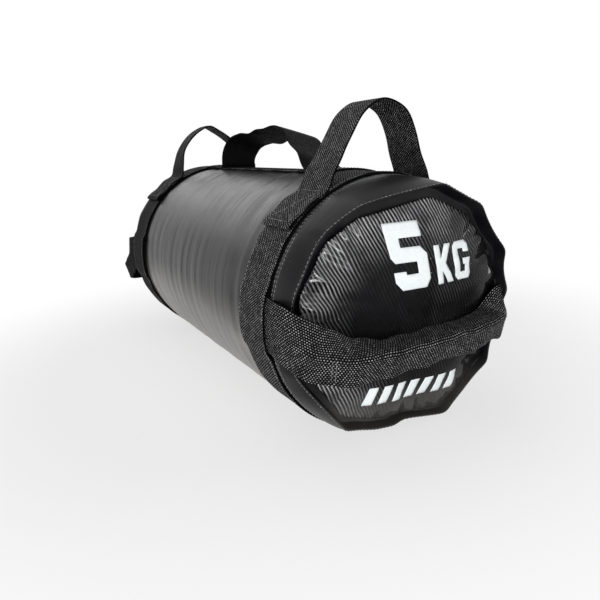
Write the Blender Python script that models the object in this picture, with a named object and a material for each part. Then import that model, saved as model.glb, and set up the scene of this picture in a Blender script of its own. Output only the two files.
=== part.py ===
"""Weighted training bag: a filled vinyl barrel with webbing bands and five webbing handles.

Frame: metres, +Z up, X along the barrel, front end face at +X, floor at Z = 0.
Shapes are built about the barrel's axis, which lies at AXIS_HEIGHT above the floor.
"""
import math
from collections import namedtuple

import bmesh
import bpy
from mathutils import Matrix, Vector

for old_object in list(bpy.data.objects):
    bpy.data.objects.remove(old_object, do_unlink=True)

# Barrel, metres
BARREL_LENGTH = 0.507
BARREL_RADIUS = 0.122
RIM_DRAW_IN = 0.0065
SKIN_THICKNESS = 0.0014
FLOOR_PRESS = 0.0053
CLEARANCE = 0.0003
RIM_DRAW_POWER = 1.6
TAPER_STATION_SHARE = 0.35
BARREL_SIDES = 48
CORE_SIDES = 28
SHARP_ANGLE = math.radians(35.0)

# Webbing
WEBBING_WIDTH = 0.050
WEBBING_THICKNESS = 0.002
BAND_SETBACK = 0.034

# Rim hem and end discs
HEM_LENGTH = 0.0105
HEM_FOLD_DEPTH = 0.0055
HEM_RETURN = 0.0115
DISC_FLANGE = 0.004
DISC_BULGE = 0.0155
DISC_BULGE_POWER = 2.6

# Closing seam tape, on the underside at the back
SEAM_TAPE_WIDTH = 0.022
SEAM_TAPE_THICKNESS = 0.0008
SEAM_TAPE_CLOCK = math.radians(140.0)

# Handles that stand on the bands
BAND_HANDLE_CLOCK = math.radians(2.5)
BAND_HANDLE_BASE_ANGLE = math.radians(27.5)
BAND_HANDLE_PATCH_LENGTH = 0.049
BAND_HANDLE_RISE = 0.0735
FRONT_HANDLE_SKEW = math.radians(-10.0)
REAR_HANDLE_SKEW = math.radians(-14.0)
FRONT_HANDLE_ROOT_LENGTHS = (0.060, 0.050)
REAR_HANDLE_ROOT_LENGTHS = (0.047, 0.060)
BAND_HANDLE_HINGE_HEIGHT = 0.012

# Handle between the bands
CENTRE_HANDLE_CLOCK = math.radians(5.0)
CENTRE_HANDLE_SPAN = 0.230
CENTRE_HANDLE_RISE = 0.0424
CENTRE_HANDLE_LEAN = math.radians(12.0)
CENTRE_HANDLE_ROOT_LENGTH = 0.026
CENTRE_HANDLE_HINGE_HEIGHT = 0.009

# Handles across the end faces; the front one is sewn lower on its right
END_HANDLE_CLOCK = math.radians(87.0)
FRONT_RIGHT_CLOCK = math.radians(100.0)
END_HANDLE_REACH = 0.046
FRONT_END_HANDLE_SAG = 0.0205
REAR_END_HANDLE_SAG = 0.027
END_HANDLE_FOLD = math.radians(108.0)
END_HANDLE_ROLL = math.radians(22.0)
END_HANDLE_FOLD_START = 0.046
END_HANDLE_FOLD_RUN = 0.060
FRONT_RIGHT_FOLD_START = 0.044
FRONT_RIGHT_FOLD_RUN = 0.045
END_HANDLE_ROOT_LENGTH = 0.046

# Filling
FOAM_BORE_RADIUS = 0.050
FOAM_PAD_THICKNESS = 0.030
SACK_WALL = 0.0008
SACK_END_SPACE = 0.0263
SACK_SHOULDER = 0.022
SACK_NECK_RADIUS = 0.012
SACK_NECK_LENGTH = 0.024
SACK_CORNER = 0.008
TIE_WIDTH = 0.005
TIE_THICKNESS = 0.0015

# Arches as shares: across the span from the middle, and of the rise above the base
FRONT_ARCH_SHARES = (
    (-0.77, 0.25), (-0.47, 0.54), (-0.166, 0.825), (0.033, 0.978), (0.238, 1.00),
    (0.43, 0.935), (0.59, 0.70), (0.73, 0.41), (0.89, 0.16),
)
REAR_ARCH_SHARES = (
    (-0.97, 0.20), (-0.87, 0.50), (-0.67, 0.73), (-0.39, 0.88), (-0.16, 0.93),
    (0.13, 0.85), (0.48, 0.66), (0.82, 0.44), (1.00, 0.20),
)
CENTRE_ARCH_SHARES = (
    (-0.94, 0.25), (-0.91, 0.48), (-0.83, 0.66), (-0.61, 0.73), (-0.26, 0.81),
    (0.00, 0.88), (0.26, 1.00), (0.46, 0.985), (0.58, 0.81), (0.73, 0.56), (0.87, 0.27),
)
# End handles from the band to the middle: shares of the run from the band's edge to the
# handle's furthest reach, and of the half width between level patches
FRONT_LOOP_SHARES = (
    (0.21, 0.975), (0.425, 0.945), (0.61, 0.895), (0.77, 0.805), (0.895, 0.66),
    (0.965, 0.44), (0.99, 0.21), (1.00, 0.0),
)
REAR_LOOP_SHARES = (
    (0.21, 1.005), (0.425, 1.02), (0.61, 1.030), (0.78, 1.010), (0.90, 0.90),
    (0.965, 0.65), (0.99, 0.32), (1.00, 0.0),
)
SPLINE_STEPS = 8
DIRECTION_RUN = 0.003
ACROSS_COLUMNS = 5

# Sizes that follow from those above
HALF_LENGTH = BARREL_LENGTH / 2
RIM_RADIUS = BARREL_RADIUS - RIM_DRAW_IN
BAND_INNER_RADIUS = BARREL_RADIUS + CLEARANCE
BAND_OUTER_RADIUS = BAND_INNER_RADIUS + WEBBING_THICKNESS
AXIS_HEIGHT = BAND_OUTER_RADIUS - FLOOR_PRESS
BAND_FRONT_EDGE = HALF_LENGTH - BAND_SETBACK
BAND_REAR_EDGE = BAND_FRONT_EDGE - WEBBING_WIDTH
BAND_MIDDLE = (BAND_FRONT_EDGE + BAND_REAR_EDGE) / 2
PATCH_RADIUS = BAND_OUTER_RADIUS + CLEARANCE + WEBBING_THICKNESS / 2
HEM_START = HALF_LENGTH - HEM_LENGTH

Station = namedtuple("Station", "centre across out bend fold")
LoopSide = namedtuple("LoopSide", "clock fold_start fold_run")
LEVEL_SIDE = LoopSide(END_HANDLE_CLOCK, END_HANDLE_FOLD_START, END_HANDLE_FOLD_RUN)
LOW_SIDE = LoopSide(FRONT_RIGHT_CLOCK, FRONT_RIGHT_FOLD_START, FRONT_RIGHT_FOLD_RUN)

model = bpy.data.collections.new("weighted_bag")
bpy.context.scene.collection.children.link(model)


def make_material(name, colour, roughness):
    """A plain Principled material with the part's own colour."""
    material = bpy.data.materials.new(name)
    material.use_nodes = True
    shader = material.node_tree.nodes["Principled BSDF"]
    shader.inputs["Base Color"].default_value = (*colour, 1.0)
    shader.inputs["Roughness"].default_value = roughness
    shader.inputs["Metallic"].default_value = 0.0
    return material


VINYL = make_material("vinyl", (0.020, 0.020, 0.022), 0.35)
DISC_VINYL = make_material("disc_vinyl", (0.014, 0.014, 0.016), 0.28)
WEBBING = make_material("webbing", (0.022, 0.022, 0.023), 0.85)
FOAM = make_material("foam", (0.35, 0.36, 0.38), 0.95)
SACKCLOTH = make_material("sack", (0.60, 0.62, 0.60), 0.70)
SAND = make_material("sand", (0.42, 0.32, 0.20), 0.95)
NYLON = make_material("nylon", (0.75, 0.74, 0.70), 0.45)


def add_empty(name, location, parent=None):
    """An empty that carries pieces, placed relative to its parent."""
    empty = bpy.data.objects.new(name, None)
    empty.location = location
    empty.parent = parent
    model.objects.link(empty)
    return empty


barrel_axis = add_empty("barrel_axis", (0.0, 0.0, AXIS_HEIGHT))


def add_mesh(name, shape, material, parent=barrel_axis):
    """Turn a finished shape, given about its parent's origin, into a named object."""
    bmesh.ops.recalc_face_normals(shape, faces=shape.faces)
    mesh = bpy.data.meshes.new(name)
    shape.to_mesh(mesh)
    shape.free()
    mesh.materials.append(material)
    mesh.shade_smooth()
    mesh.set_sharp_from_angle(angle=SHARP_ANGLE)
    piece = bpy.data.objects.new(name, mesh)
    piece.parent = parent
    model.objects.link(piece)
    return piece


def press_to_floor(shape):
    """Flatten the underside as the filled bag's weight does, less towards the axis."""
    for vertex in shape.verts:
        radius = math.hypot(vertex.co.y, vertex.co.z)
        lowest = -(radius - FLOOR_PRESS * (radius / BAND_OUTER_RADIUS) ** 2)
        vertex.co.z = max(vertex.co.z, lowest)


def turned(name, profile, material, sides=BARREL_SIDES, pressed=True):
    """Sweep a closed outline of (x, radius) points about the barrel's axis."""
    shape = bmesh.new()
    ring = [shape.verts.new((x, 0.0, radius)) for x, radius in profile]
    edges = [shape.edges.new(pair) for pair in zip(ring, ring[1:] + ring[:1])
             if pair[0].co.z > 0.0 or pair[1].co.z > 0.0]
    bmesh.ops.spin(shape, geom=ring + edges, cent=(0.0, 0.0, 0.0), axis=(1.0, 0.0, 0.0),
                   angle=math.tau, steps=sides, use_merge=True)
    bmesh.ops.remove_doubles(shape, verts=shape.verts, dist=CLEARANCE / 10)
    if pressed:
        press_to_floor(shape)
    return add_mesh(name, shape, material)


def mirrored(profile):
    """The same outline at the barrel's other end."""
    return [(-x, radius) for x, radius in profile]


def barrel_radius_at(x):
    """Outer radius of the skin: straight under the bands, drawn in towards the rim."""
    run = max(0.0, abs(x) - BAND_FRONT_EDGE) / BAND_SETBACK
    return BARREL_RADIUS - RIM_DRAW_IN * run ** RIM_DRAW_POWER


def disc_front(radius, seam_radius, seam_x):
    """Height of the domed end disc along X at a distance from the axis."""
    share = radius / seam_radius
    return seam_x + DISC_BULGE * (1.0 - share ** DISC_BULGE_POWER)


def build_barrel_skin():
    """Rolled vinyl tube, open at both ends, where the hems take over."""
    taper = [BAND_FRONT_EDGE, BAND_FRONT_EDGE + BAND_SETBACK * TAPER_STATION_SHARE, HEM_START - CLEARANCE]
    stations = [-x for x in reversed(taper)] + [-BAND_REAR_EDGE, 0.0, BAND_REAR_EDGE] + taper
    outer = [(x, barrel_radius_at(x)) for x in stations]
    inner = [(x, radius - SKIN_THICKNESS) for x, radius in reversed(outer)]
    turned("barrel_skin", outer + inner, VINYL)


def build_end(label, place):
    """Rim hem, domed disc and foam pad of one end; place mirrors the outline or leaves it."""
    sheet = SKIN_THICKNESS
    start_radius = barrel_radius_at(HEM_START)
    hem_inner = RIM_RADIUS - HEM_FOLD_DEPTH
    fold_middle = (RIM_RADIUS + hem_inner) / 2
    hem_back = HALF_LENGTH - HEM_RETURN
    hem = [
        (HEM_START, start_radius),
        (HALF_LENGTH - sheet, RIM_RADIUS),
        (HALF_LENGTH, fold_middle + sheet / 2),
        (HALF_LENGTH, fold_middle - sheet / 2),
        (HALF_LENGTH - sheet, hem_inner - sheet),
        (hem_back, hem_inner - sheet),
        (hem_back, hem_inner),
        (HALF_LENGTH - 2 * sheet, hem_inner),
        (HALF_LENGTH - 2 * sheet, RIM_RADIUS - sheet),
        (HEM_START, start_radius - sheet),
    ]
    turned(label + "_rim_hem", place(hem), VINYL)

    flange_radius = hem_inner - sheet - CLEARANCE
    seam_radius = flange_radius - sheet
    seam_x = hem_back + CLEARANCE
    dome_shares = (0.0, 0.30, 0.55, 0.75, 0.90, 1.0)
    front = [(disc_front(share * seam_radius, seam_radius, seam_x), share * seam_radius)
             for share in dome_shares]
    back = [(x - sheet, radius) for x, radius in reversed(front[:-1])]
    flange = [(seam_x + DISC_FLANGE, seam_radius), (seam_x + DISC_FLANGE, flange_radius),
              (seam_x - sheet, flange_radius)]
    turned(label + "_end_disc", place(front + flange + back), DISC_VINYL)

    pad_back = seam_x - FOAM_PAD_THICKNESS
    pad_front = [(x - sheet - CLEARANCE, radius) for x, radius in front[:-1]]
    pad_edge = seam_x - sheet - CLEARANCE
    pad_radius = barrel_radius_at(HEM_START) - sheet - CLEARANCE
    pad = pad_front + [(pad_edge, seam_radius), (pad_back, pad_radius), (pad_back, 0.0)]
    turned(label + "_foam_pad", place(pad), FOAM)
    return pad_back


def build_filling(pad_back):
    """Foam wrap round a tied sack of sand, lying on the barrel's axis."""
    wrap_end = pad_back - CLEARANCE
    wrap_radius = BARREL_RADIUS - SKIN_THICKNESS - CLEARANCE
    wrap = [(-wrap_end, wrap_radius), (wrap_end, wrap_radius),
            (wrap_end, FOAM_BORE_RADIUS), (-wrap_end, FOAM_BORE_RADIUS)]
    turned("foam_wrap", wrap, FOAM)

    sack_radius = FOAM_BORE_RADIUS - CLEARANCE - FLOOR_PRESS * (FOAM_BORE_RADIUS / BAND_OUTER_RADIUS) ** 2
    mouth = pad_back - SACK_END_SPACE
    back = -mouth
    neck = mouth - SACK_NECK_LENGTH
    shoulder = neck - SACK_SHOULDER
    outer = [(back, 0.0), (back, sack_radius - SACK_CORNER), (back + SACK_CORNER, sack_radius),
             (shoulder, sack_radius), (neck, SACK_NECK_RADIUS), (mouth, SACK_NECK_RADIUS)]
    wall = SACK_WALL
    inner = [(mouth, SACK_NECK_RADIUS - wall), (neck - wall, SACK_NECK_RADIUS - wall),
             (shoulder - wall / 2, sack_radius - wall), (back + SACK_CORNER, sack_radius - wall),
             (back + wall, sack_radius - SACK_CORNER - wall / 2), (back + wall, 0.0)]
    turned("sand_sack", outer + inner, SACKCLOTH, sides=CORE_SIDES, pressed=False)

    gap = wall + CLEARANCE
    sand = [(back + gap, 0.0), (back + gap, sack_radius - SACK_CORNER - gap),
            (back + SACK_CORNER, sack_radius - gap), (shoulder - gap, sack_radius - gap),
            (neck - gap, SACK_NECK_RADIUS - gap), (neck, SACK_NECK_RADIUS - gap), (neck, 0.0)]
    turned("sand_fill", sand, SAND, sides=CORE_SIDES, pressed=False)

    tie_inner = SACK_NECK_RADIUS + CLEARANCE
    tie_start = neck + (SACK_NECK_LENGTH - TIE_WIDTH) / 2
    tie = [(tie_start, tie_inner), (tie_start, tie_inner + TIE_THICKNESS),
           (tie_start + TIE_WIDTH, tie_inner + TIE_THICKNESS), (tie_start + TIE_WIDTH, tie_inner)]
    turned("sack_tie", tie, NYLON, sides=CORE_SIDES, pressed=False)


def build_band(label, place):
    """Webbing loop right round the barrel, flattened where it meets the floor."""
    band = [(BAND_REAR_EDGE, BAND_OUTER_RADIUS), (BAND_FRONT_EDGE, BAND_OUTER_RADIUS),
            (BAND_FRONT_EDGE, BAND_INNER_RADIUS), (BAND_REAR_EDGE, BAND_INNER_RADIUS)]
    turned(label + "_band", place(band), WEBBING)


def radial(clock):
    """Unit vector out of the barrel at an angle from the top, positive towards +Y."""
    return Vector((0.0, math.sin(clock), math.cos(clock)))


def section_points(station, width, thickness, columns=ACROSS_COLUMNS):
    """Outer and inner points of one cross-section of webbing, lowest share first.

    The strip curves with the station's bend (1/m), and the half on the across side turns
    back by the station's fold.
    """
    half = columns // 2
    step = width / (columns - 1)

    def walk(sign):
        point = Vector((0.0, 0.0))
        turn = station.fold if sign > 0 else 0.0
        found = []
        for index in range(half):
            angle = turn + station.bend * step * (index + 0.5)
            point = point + Vector((math.cos(angle), -math.sin(angle))) * step
            found.append((Vector((sign * point.x, point.y)), turn + station.bend * step * (index + 1)))
        return found

    plus = [(point, Vector((math.sin(angle), math.cos(angle)))) for point, angle in walk(1)]
    minus = [(point, Vector((-math.sin(angle), math.cos(angle)))) for point, angle in walk(-1)]
    middle_angle = station.fold / 2
    middle_normal = Vector((math.sin(middle_angle), math.cos(middle_angle))) / math.cos(middle_angle)
    middle = [(Vector((0.0, 0.0)), middle_normal)]
    row = minus[::-1] + middle + plus

    def world(flat):
        return station.centre + station.across * flat.x + station.out * flat.y

    outer = [world(point + normal * thickness / 2) for point, normal in row]
    inner = [world(point - normal * thickness / 2) for point, normal in row]
    return outer, inner


def webbing_solid(name, stations, parent=barrel_axis, shift=Vector((0.0, 0.0, 0.0)),
                  width=WEBBING_WIDTH, thickness=WEBBING_THICKNESS):
    """Loft a strip of webbing through its stations and close both cut ends."""
    shape = bmesh.new()
    rings = []
    for station in stations:
        outer, inner = section_points(station, width, thickness)
        rings.append([shape.verts.new(point - shift) for point in outer + inner[::-1]])
    count = len(rings[0])
    for first, second in zip(rings, rings[1:]):
        for index in range(count):
            after = (index + 1) % count
            shape.faces.new((first[index], first[after], second[after], second[index]))
    for ring in (rings[0], rings[-1]):
        for index in range(count // 2 - 1):
            far = count - 1 - index
            shape.faces.new((ring[index], ring[index + 1], ring[far - 1], ring[far]))
    return add_mesh(name, shape, WEBBING, parent)


def spline(points):
    """Dense points on a smooth curve through the given ones (centripetal Catmull-Rom)."""
    ends = [points[0] * 2 - points[1]] + list(points) + [points[-1] * 2 - points[-2]]
    curve = []
    for before, start, stop, after in zip(ends, ends[1:], ends[2:], ends[3:]):
        knots = [0.0]
        for first, second in ((before, start), (start, stop), (stop, after)):
            knots.append(knots[-1] + math.sqrt((second - first).length))
        for step in range(SPLINE_STEPS):
            t = knots[1] + (knots[2] - knots[1]) * step / SPLINE_STEPS
            a1 = before.lerp(start, (t - knots[0]) / (knots[1] - knots[0]))
            a2 = start.lerp(stop, (t - knots[1]) / (knots[2] - knots[1]))
            a3 = stop.lerp(after, (t - knots[2]) / (knots[3] - knots[2]))
            b1 = a1.lerp(a2, (t - knots[0]) / (knots[2] - knots[0]))
            b2 = a2.lerp(a3, (t - knots[1]) / (knots[3] - knots[1]))
            curve.append(b1.lerp(b2, (t - knots[1]) / (knots[2] - knots[1])))
    return curve + [points[-1].copy()]


def lengths_along(curve):
    """Distance from the curve's start to each of its points."""
    lengths = [0.0]
    for first, second in zip(curve, curve[1:]):
        lengths.append(lengths[-1] + (second - first).length)
    return lengths


def point_at(curve, lengths, distance):
    """Point at a distance along the curve."""
    index = 1
    while index < len(curve) - 1 and lengths[index] < distance:
        index += 1
    share = (distance - lengths[index - 1]) / (lengths[index] - lengths[index - 1])
    return curve[index - 1].lerp(curve[index], share)


def direction_at(curve, lengths, distance):
    """Direction of the curve, averaged over a short run so that cut ends stay parallel."""
    return (point_at(curve, lengths, distance + DIRECTION_RUN)
            - point_at(curve, lengths, distance - DIRECTION_RUN)).normalized()


def smoothstep(share):
    """Ease from 0 to 1."""
    share = min(1.0, max(0.0, share))
    return share * share * (3.0 - 2.0 * share)


Route = namedtuple("Route", "curve base_start base_stop across bend lean fold")


def stations_between(route, start, stop, count):
    """Evenly spaced stations of a handle's route between two distances."""
    lengths = lengths_along(route.curve)
    stations = []
    for index in range(count):
        distance = start + (stop - start) * index / (count - 1)
        reach = min(distance - lengths[0], lengths[-1] - distance)
        centre = point_at(route.curve, lengths, distance)
        forward = direction_at(route.curve, lengths, distance)
        across = route.across(centre)
        across = (across - forward * across.dot(forward)).normalized()
        out = across.cross(forward).normalized()
        station = Station(centre, across, out, route.bend(distance, lengths[-1]),
                          route.fold(distance, lengths[-1]))
        stations.append(route.lean(station, reach))
    return stations


def build_handle(name, ends, route, root_lengths, hinge, counts=(5, 6, 23)):
    """Sewn patches, flexible roots and the free grip of one handle, end to end.

    The grip hangs on an empty at its hinge axis; the rest belongs to the barrel.
    """
    patch_count, root_count, grip_count = counts
    lengths = lengths_along(route.curve)
    total = lengths[-1]
    first_base = lengths[route.base_start]
    last_base = lengths[route.base_stop]
    gap = CLEARANCE / 2
    pieces = (
        (name + "_" + ends[0] + "_patch", 0.0, first_base - gap, patch_count),
        (name + "_" + ends[0] + "_root", first_base + gap, first_base + root_lengths[0] - gap, root_count),
        (name + "_" + ends[1] + "_root", last_base - root_lengths[1] + gap, last_base - gap, root_count),
        (name + "_" + ends[1] + "_patch", last_base + gap, total, patch_count),
    )
    for piece_name, start, stop, count in pieces:
        webbing_solid(piece_name, stations_between(route, start, stop, count))
    hinge_empty = add_empty(name + "_hinge", hinge, barrel_axis)
    grip = stations_between(route, first_base + root_lengths[0] + gap,
                            last_base - root_lengths[1] - gap, grip_count)
    webbing_solid(name + "_grip", grip, hinge_empty, Vector(hinge))


def no_fold(distance, total):
    return 0.0


def build_band_handle(name, middle_x, arch_shares, root_lengths, skew):
    """Arch of webbing that stands on a band, sewn down along the band on both sides."""
    patch_angle = BAND_HANDLE_PATCH_LENGTH / PATCH_RADIUS
    half_span = PATCH_RADIUS * math.sin(BAND_HANDLE_BASE_ANGLE)
    base_height = PATCH_RADIUS * math.cos(BAND_HANDLE_BASE_ANGLE)
    samples = 4

    def on_band(angle):
        return radial(angle) * PATCH_RADIUS + Vector((middle_x, 0.0, 0.0))

    left = [on_band(-BAND_HANDLE_BASE_ANGLE - patch_angle * (1 - index / samples))
            for index in range(samples + 1)]
    right = [on_band(BAND_HANDLE_BASE_ANGLE + patch_angle * index / samples)
             for index in range(samples + 1)]
    arch = [Vector((middle_x, share_y * half_span, base_height + share_z * BAND_HANDLE_RISE))
            for share_y, share_z in arch_shares]
    turn = Matrix.Rotation(-BAND_HANDLE_CLOCK, 3, "X")
    points = [turn @ point for point in left + arch + right]
    middle = Vector((middle_x, 0.0, 0.0))

    def twist(station, reach):
        share = smoothstep((reach - BAND_HANDLE_PATCH_LENGTH) / min(root_lengths))
        yaw = Matrix.Rotation(skew * share, 3, "Z")
        return station._replace(centre=middle + yaw @ (station.centre - middle),
                                across=yaw @ station.across, out=yaw @ station.out)

    route = Route(
        curve=spline(points), base_start=samples * SPLINE_STEPS,
        base_stop=(samples + len(arch) + 1) * SPLINE_STEPS,
        across=lambda centre: Vector((1.0, 0.0, 0.0)), bend=lambda distance, total: 0.0,
        lean=twist, fold=no_fold)
    hinge = (middle_x, 0.0, base_height + BAND_HANDLE_HINGE_HEIGHT)
    build_handle(name, ("left", "right"), route, root_lengths, hinge)


def build_centre_handle(name):
    """Lengthwise arch between the bands, sewn to the spine strap and leaning to +Y."""
    half_span = CENTRE_HANDLE_SPAN / 2
    up = radial(CENTRE_HANDLE_CLOCK)
    sideways = Vector((0.0, -math.cos(CENTRE_HANDLE_CLOCK), math.sin(CENTRE_HANDLE_CLOCK)))
    patch_end = BAND_REAR_EDGE - CLEARANCE
    base = up * PATCH_RADIUS
    along = Vector((1.0, 0.0, 0.0))
    samples = 3
    rear = [base - along * (patch_end + (half_span - patch_end) * index / samples)
            for index in range(samples + 1)]
    front = [base + along * (half_span + (patch_end - half_span) * index / samples)
             for index in range(samples + 1)]
    arch = [base + along * share_x * half_span + up * share_z * CENTRE_HANDLE_RISE
            for share_x, share_z in CENTRE_ARCH_SHARES]
    hinge = up * (PATCH_RADIUS + CENTRE_HANDLE_HINGE_HEIGHT)
    patch_length = patch_end - half_span

    def bend(distance, total):
        reach = min(distance, total - distance) - patch_length
        return (1.0 - smoothstep(reach / CENTRE_HANDLE_ROOT_LENGTH)) / PATCH_RADIUS

    def lean(station, reach):
        share = smoothstep((reach - patch_length) / CENTRE_HANDLE_ROOT_LENGTH)
        turn = Matrix.Rotation(-CENTRE_HANDLE_LEAN * share, 3, "X")
        return station._replace(centre=hinge + turn @ (station.centre - hinge),
                                across=turn @ station.across, out=turn @ station.out)

    route = Route(
        curve=spline(rear + arch + front), base_start=samples * SPLINE_STEPS,
        base_stop=(samples + len(arch) + 1) * SPLINE_STEPS,
        across=lambda centre: sideways, bend=bend, lean=lean, fold=no_fold)
    build_handle(name, ("rear", "front"), route, (CENTRE_HANDLE_ROOT_LENGTH,) * 2, tuple(hinge),
                 counts=(3, 5, 29))


def build_end_handle(name, facing, loop_shares, sag, sides):
    """Strap across an end face, sewn to the sides of the band, folded along its grip.

    The sides are those towards -Y and +Y.
    """
    run = HALF_LENGTH + END_HANDLE_REACH - BAND_FRONT_EDGE
    patch_length = BAND_FRONT_EDGE - BAND_REAR_EDGE
    half_width = PATCH_RADIUS * math.sin(END_HANDLE_CLOCK)
    hinge_height = PATCH_RADIUS * math.cos(END_HANDLE_CLOCK)
    middle_height = hinge_height - sag
    samples = 3

    def half_route(outward, clock):
        patch_height = PATCH_RADIUS * math.cos(clock)
        patch_side = PATCH_RADIUS * math.sin(clock)

        def place(x, side):
            share = smoothstep((x - BAND_FRONT_EDGE) / run)
            return Vector((facing * x, outward * side, patch_height + (middle_height - patch_height) * share))

        patch = [place(BAND_REAR_EDGE + patch_length * index / samples, patch_side)
                 for index in range(samples + 1)]
        return patch + [place(BAND_FRONT_EDGE + share_x * run, share_y * half_width)
                        for share_x, share_y in loop_shares]

    first, second = ((1, sides[1]), (-1, sides[0])) if facing > 0 else ((-1, sides[0]), (1, sides[1]))
    points = half_route(first[0], first[1].clock) + half_route(second[0], second[1].clock)[-2::-1]
    last = len(points) - 1

    def across(centre):
        outward = math.copysign(1.0, centre.y)
        clock = (sides[1] if outward > 0 else sides[0]).clock
        reach = abs(centre.x) - BAND_FRONT_EDGE
        tilt = (math.pi / 2 - clock) * (1.0 - smoothstep(reach / run))
        return Vector((0.0, -outward * math.sin(tilt), math.cos(tilt)))

    def bend(distance, total):
        reach = min(distance, total - distance) - patch_length
        return (1.0 - smoothstep(reach / END_HANDLE_ROOT_LENGTH)) / PATCH_RADIUS

    def folded(distance, total):
        side = first[1] if distance < total / 2 else second[1]
        reach = min(distance, total - distance) - patch_length
        return smoothstep((reach - side.fold_start) / side.fold_run)

    def fold(distance, total):
        return END_HANDLE_FOLD * folded(distance, total)

    def roll(station, reach):
        angle = END_HANDLE_ROLL * station.fold / END_HANDLE_FOLD
        return station._replace(
            across=station.across * math.cos(angle) + station.out * math.sin(angle),
            out=station.out * math.cos(angle) - station.across * math.sin(angle))

    ends = ("right", "left") if facing > 0 else ("left", "right")
    route = Route(
        curve=spline(points), base_start=samples * SPLINE_STEPS,
        base_stop=(last - samples) * SPLINE_STEPS,
        across=across, bend=bend, lean=roll, fold=fold)
    hinge = (facing * HALF_LENGTH, 0.0, hinge_height)
    build_handle(name, ends, route, (END_HANDLE_ROOT_LENGTH,) * 2, hinge, counts=(3, 7, 31))


def build_strip_along_barrel(name, clock, width, inner_radius, thickness, material):
    """Straight strip lying along the barrel between the bands, wrapped to its curve."""
    middle_radius = inner_radius + thickness / 2
    up = radial(clock)
    sideways = Vector((0.0, -math.cos(clock), math.sin(clock)))
    half = BAND_REAR_EDGE - CLEARANCE
    stations = [Station(up * middle_radius + Vector((x, 0.0, 0.0)), sideways, up,
                        1.0 / middle_radius, 0.0) for x in (-half, 0.0, half)]
    strip = webbing_solid(name, stations, width=width, thickness=thickness)
    strip.data.materials[0] = material


build_barrel_skin()
foam_pad_back = build_end("front", list)
build_end("rear", mirrored)
build_filling(foam_pad_back)
build_band("front", list)
build_band("rear", mirrored)
build_strip_along_barrel("spine_strap", CENTRE_HANDLE_CLOCK, WEBBING_WIDTH,
                         BARREL_RADIUS + CLEARANCE, WEBBING_THICKNESS, WEBBING)
build_strip_along_barrel("closing_seam_tape", SEAM_TAPE_CLOCK, SEAM_TAPE_WIDTH,
                         BARREL_RADIUS + CLEARANCE, SEAM_TAPE_THICKNESS, VINYL)
build_band_handle("front_handle", BAND_MIDDLE, FRONT_ARCH_SHARES, FRONT_HANDLE_ROOT_LENGTHS,
                  FRONT_HANDLE_SKEW)
build_band_handle("rear_handle", -BAND_MIDDLE, REAR_ARCH_SHARES, REAR_HANDLE_ROOT_LENGTHS,
                  REAR_HANDLE_SKEW)
build_centre_handle("centre_handle")
build_end_handle("front_end_handle", 1, FRONT_LOOP_SHARES, FRONT_END_HANDLE_SAG, (LEVEL_SIDE, LOW_SIDE))
build_end_handle("rear_end_handle", -1, REAR_LOOP_SHARES, REAR_END_HANDLE_SAG, (LEVEL_SIDE, LEVEL_SIDE))
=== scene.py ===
"""Looks of the weighted training bag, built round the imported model.

Frame: metres, +Z up, X along the barrel, front end face at +X, floor at Z = 0.
Shapes are worked out about the barrel's axis and lifted to its height at the end.
A clock angle is measured about that axis from the top, positive towards +Y.
"""
import math
from collections import namedtuple

import bmesh
import bpy
import numpy as np
from mathutils import Matrix, Vector
from mathutils.bvhtree import BVHTree
from mathutils.geometry import delaunay_2d_cdt


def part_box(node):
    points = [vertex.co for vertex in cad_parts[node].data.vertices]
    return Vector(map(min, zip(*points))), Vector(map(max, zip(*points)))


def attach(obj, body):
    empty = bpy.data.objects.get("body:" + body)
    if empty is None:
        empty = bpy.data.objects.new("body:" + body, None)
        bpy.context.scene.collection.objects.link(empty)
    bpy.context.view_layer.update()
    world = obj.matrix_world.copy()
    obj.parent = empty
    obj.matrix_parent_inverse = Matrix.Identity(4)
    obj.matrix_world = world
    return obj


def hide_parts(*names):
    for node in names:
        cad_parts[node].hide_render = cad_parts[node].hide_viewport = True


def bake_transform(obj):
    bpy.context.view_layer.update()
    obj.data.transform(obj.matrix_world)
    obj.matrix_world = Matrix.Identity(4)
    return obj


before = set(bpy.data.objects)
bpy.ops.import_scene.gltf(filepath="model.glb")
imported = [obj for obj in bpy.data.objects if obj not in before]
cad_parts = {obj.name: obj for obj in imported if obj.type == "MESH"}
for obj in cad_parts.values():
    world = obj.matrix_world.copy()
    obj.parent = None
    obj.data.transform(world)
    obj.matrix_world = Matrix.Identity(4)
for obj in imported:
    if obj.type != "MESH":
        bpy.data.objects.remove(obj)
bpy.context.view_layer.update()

MM = 0.001

# Sizes read from the frame
BAND_OUTER_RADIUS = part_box("front_band")[1][1]
AXIS_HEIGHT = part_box("front_band")[1][2] - BAND_OUTER_RADIUS
BAND_REAR_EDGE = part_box("front_band")[0][0]
BAND_FRONT_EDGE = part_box("front_band")[1][0]
BAND_MIDDLE = (BAND_REAR_EDGE + BAND_FRONT_EDGE) / 2
HALF_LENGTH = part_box("front_rim_hem")[1][0]

# Webbing and barrel
WEBBING_WIDTH = BAND_FRONT_EDGE - BAND_REAR_EDGE
WEBBING_THICKNESS = 2.0 * MM
CLEARANCE = 0.3 * MM
BARREL_RADIUS = BAND_OUTER_RADIUS - WEBBING_THICKNESS - CLEARANCE
RIM_RADIUS = 115.5 * MM
RIM_DRAW_POWER = 1.6
SKIN_THICKNESS = 1.2 * MM
FLOOR_PRESS = 5.3 * MM
PRESS_SOFTNESS = 1.2 * MM
PATCH_RADIUS = BAND_OUTER_RADIUS + CLEARANCE + WEBBING_THICKNESS / 2
ALONG = Vector((1.0, 0.0, 0.0))


def smoothstep(share):
    """Ease from 0 to 1, for numbers and arrays."""
    share = np.clip(share, 0.0, 1.0)
    return share * share * (3.0 - 2.0 * share)


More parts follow.
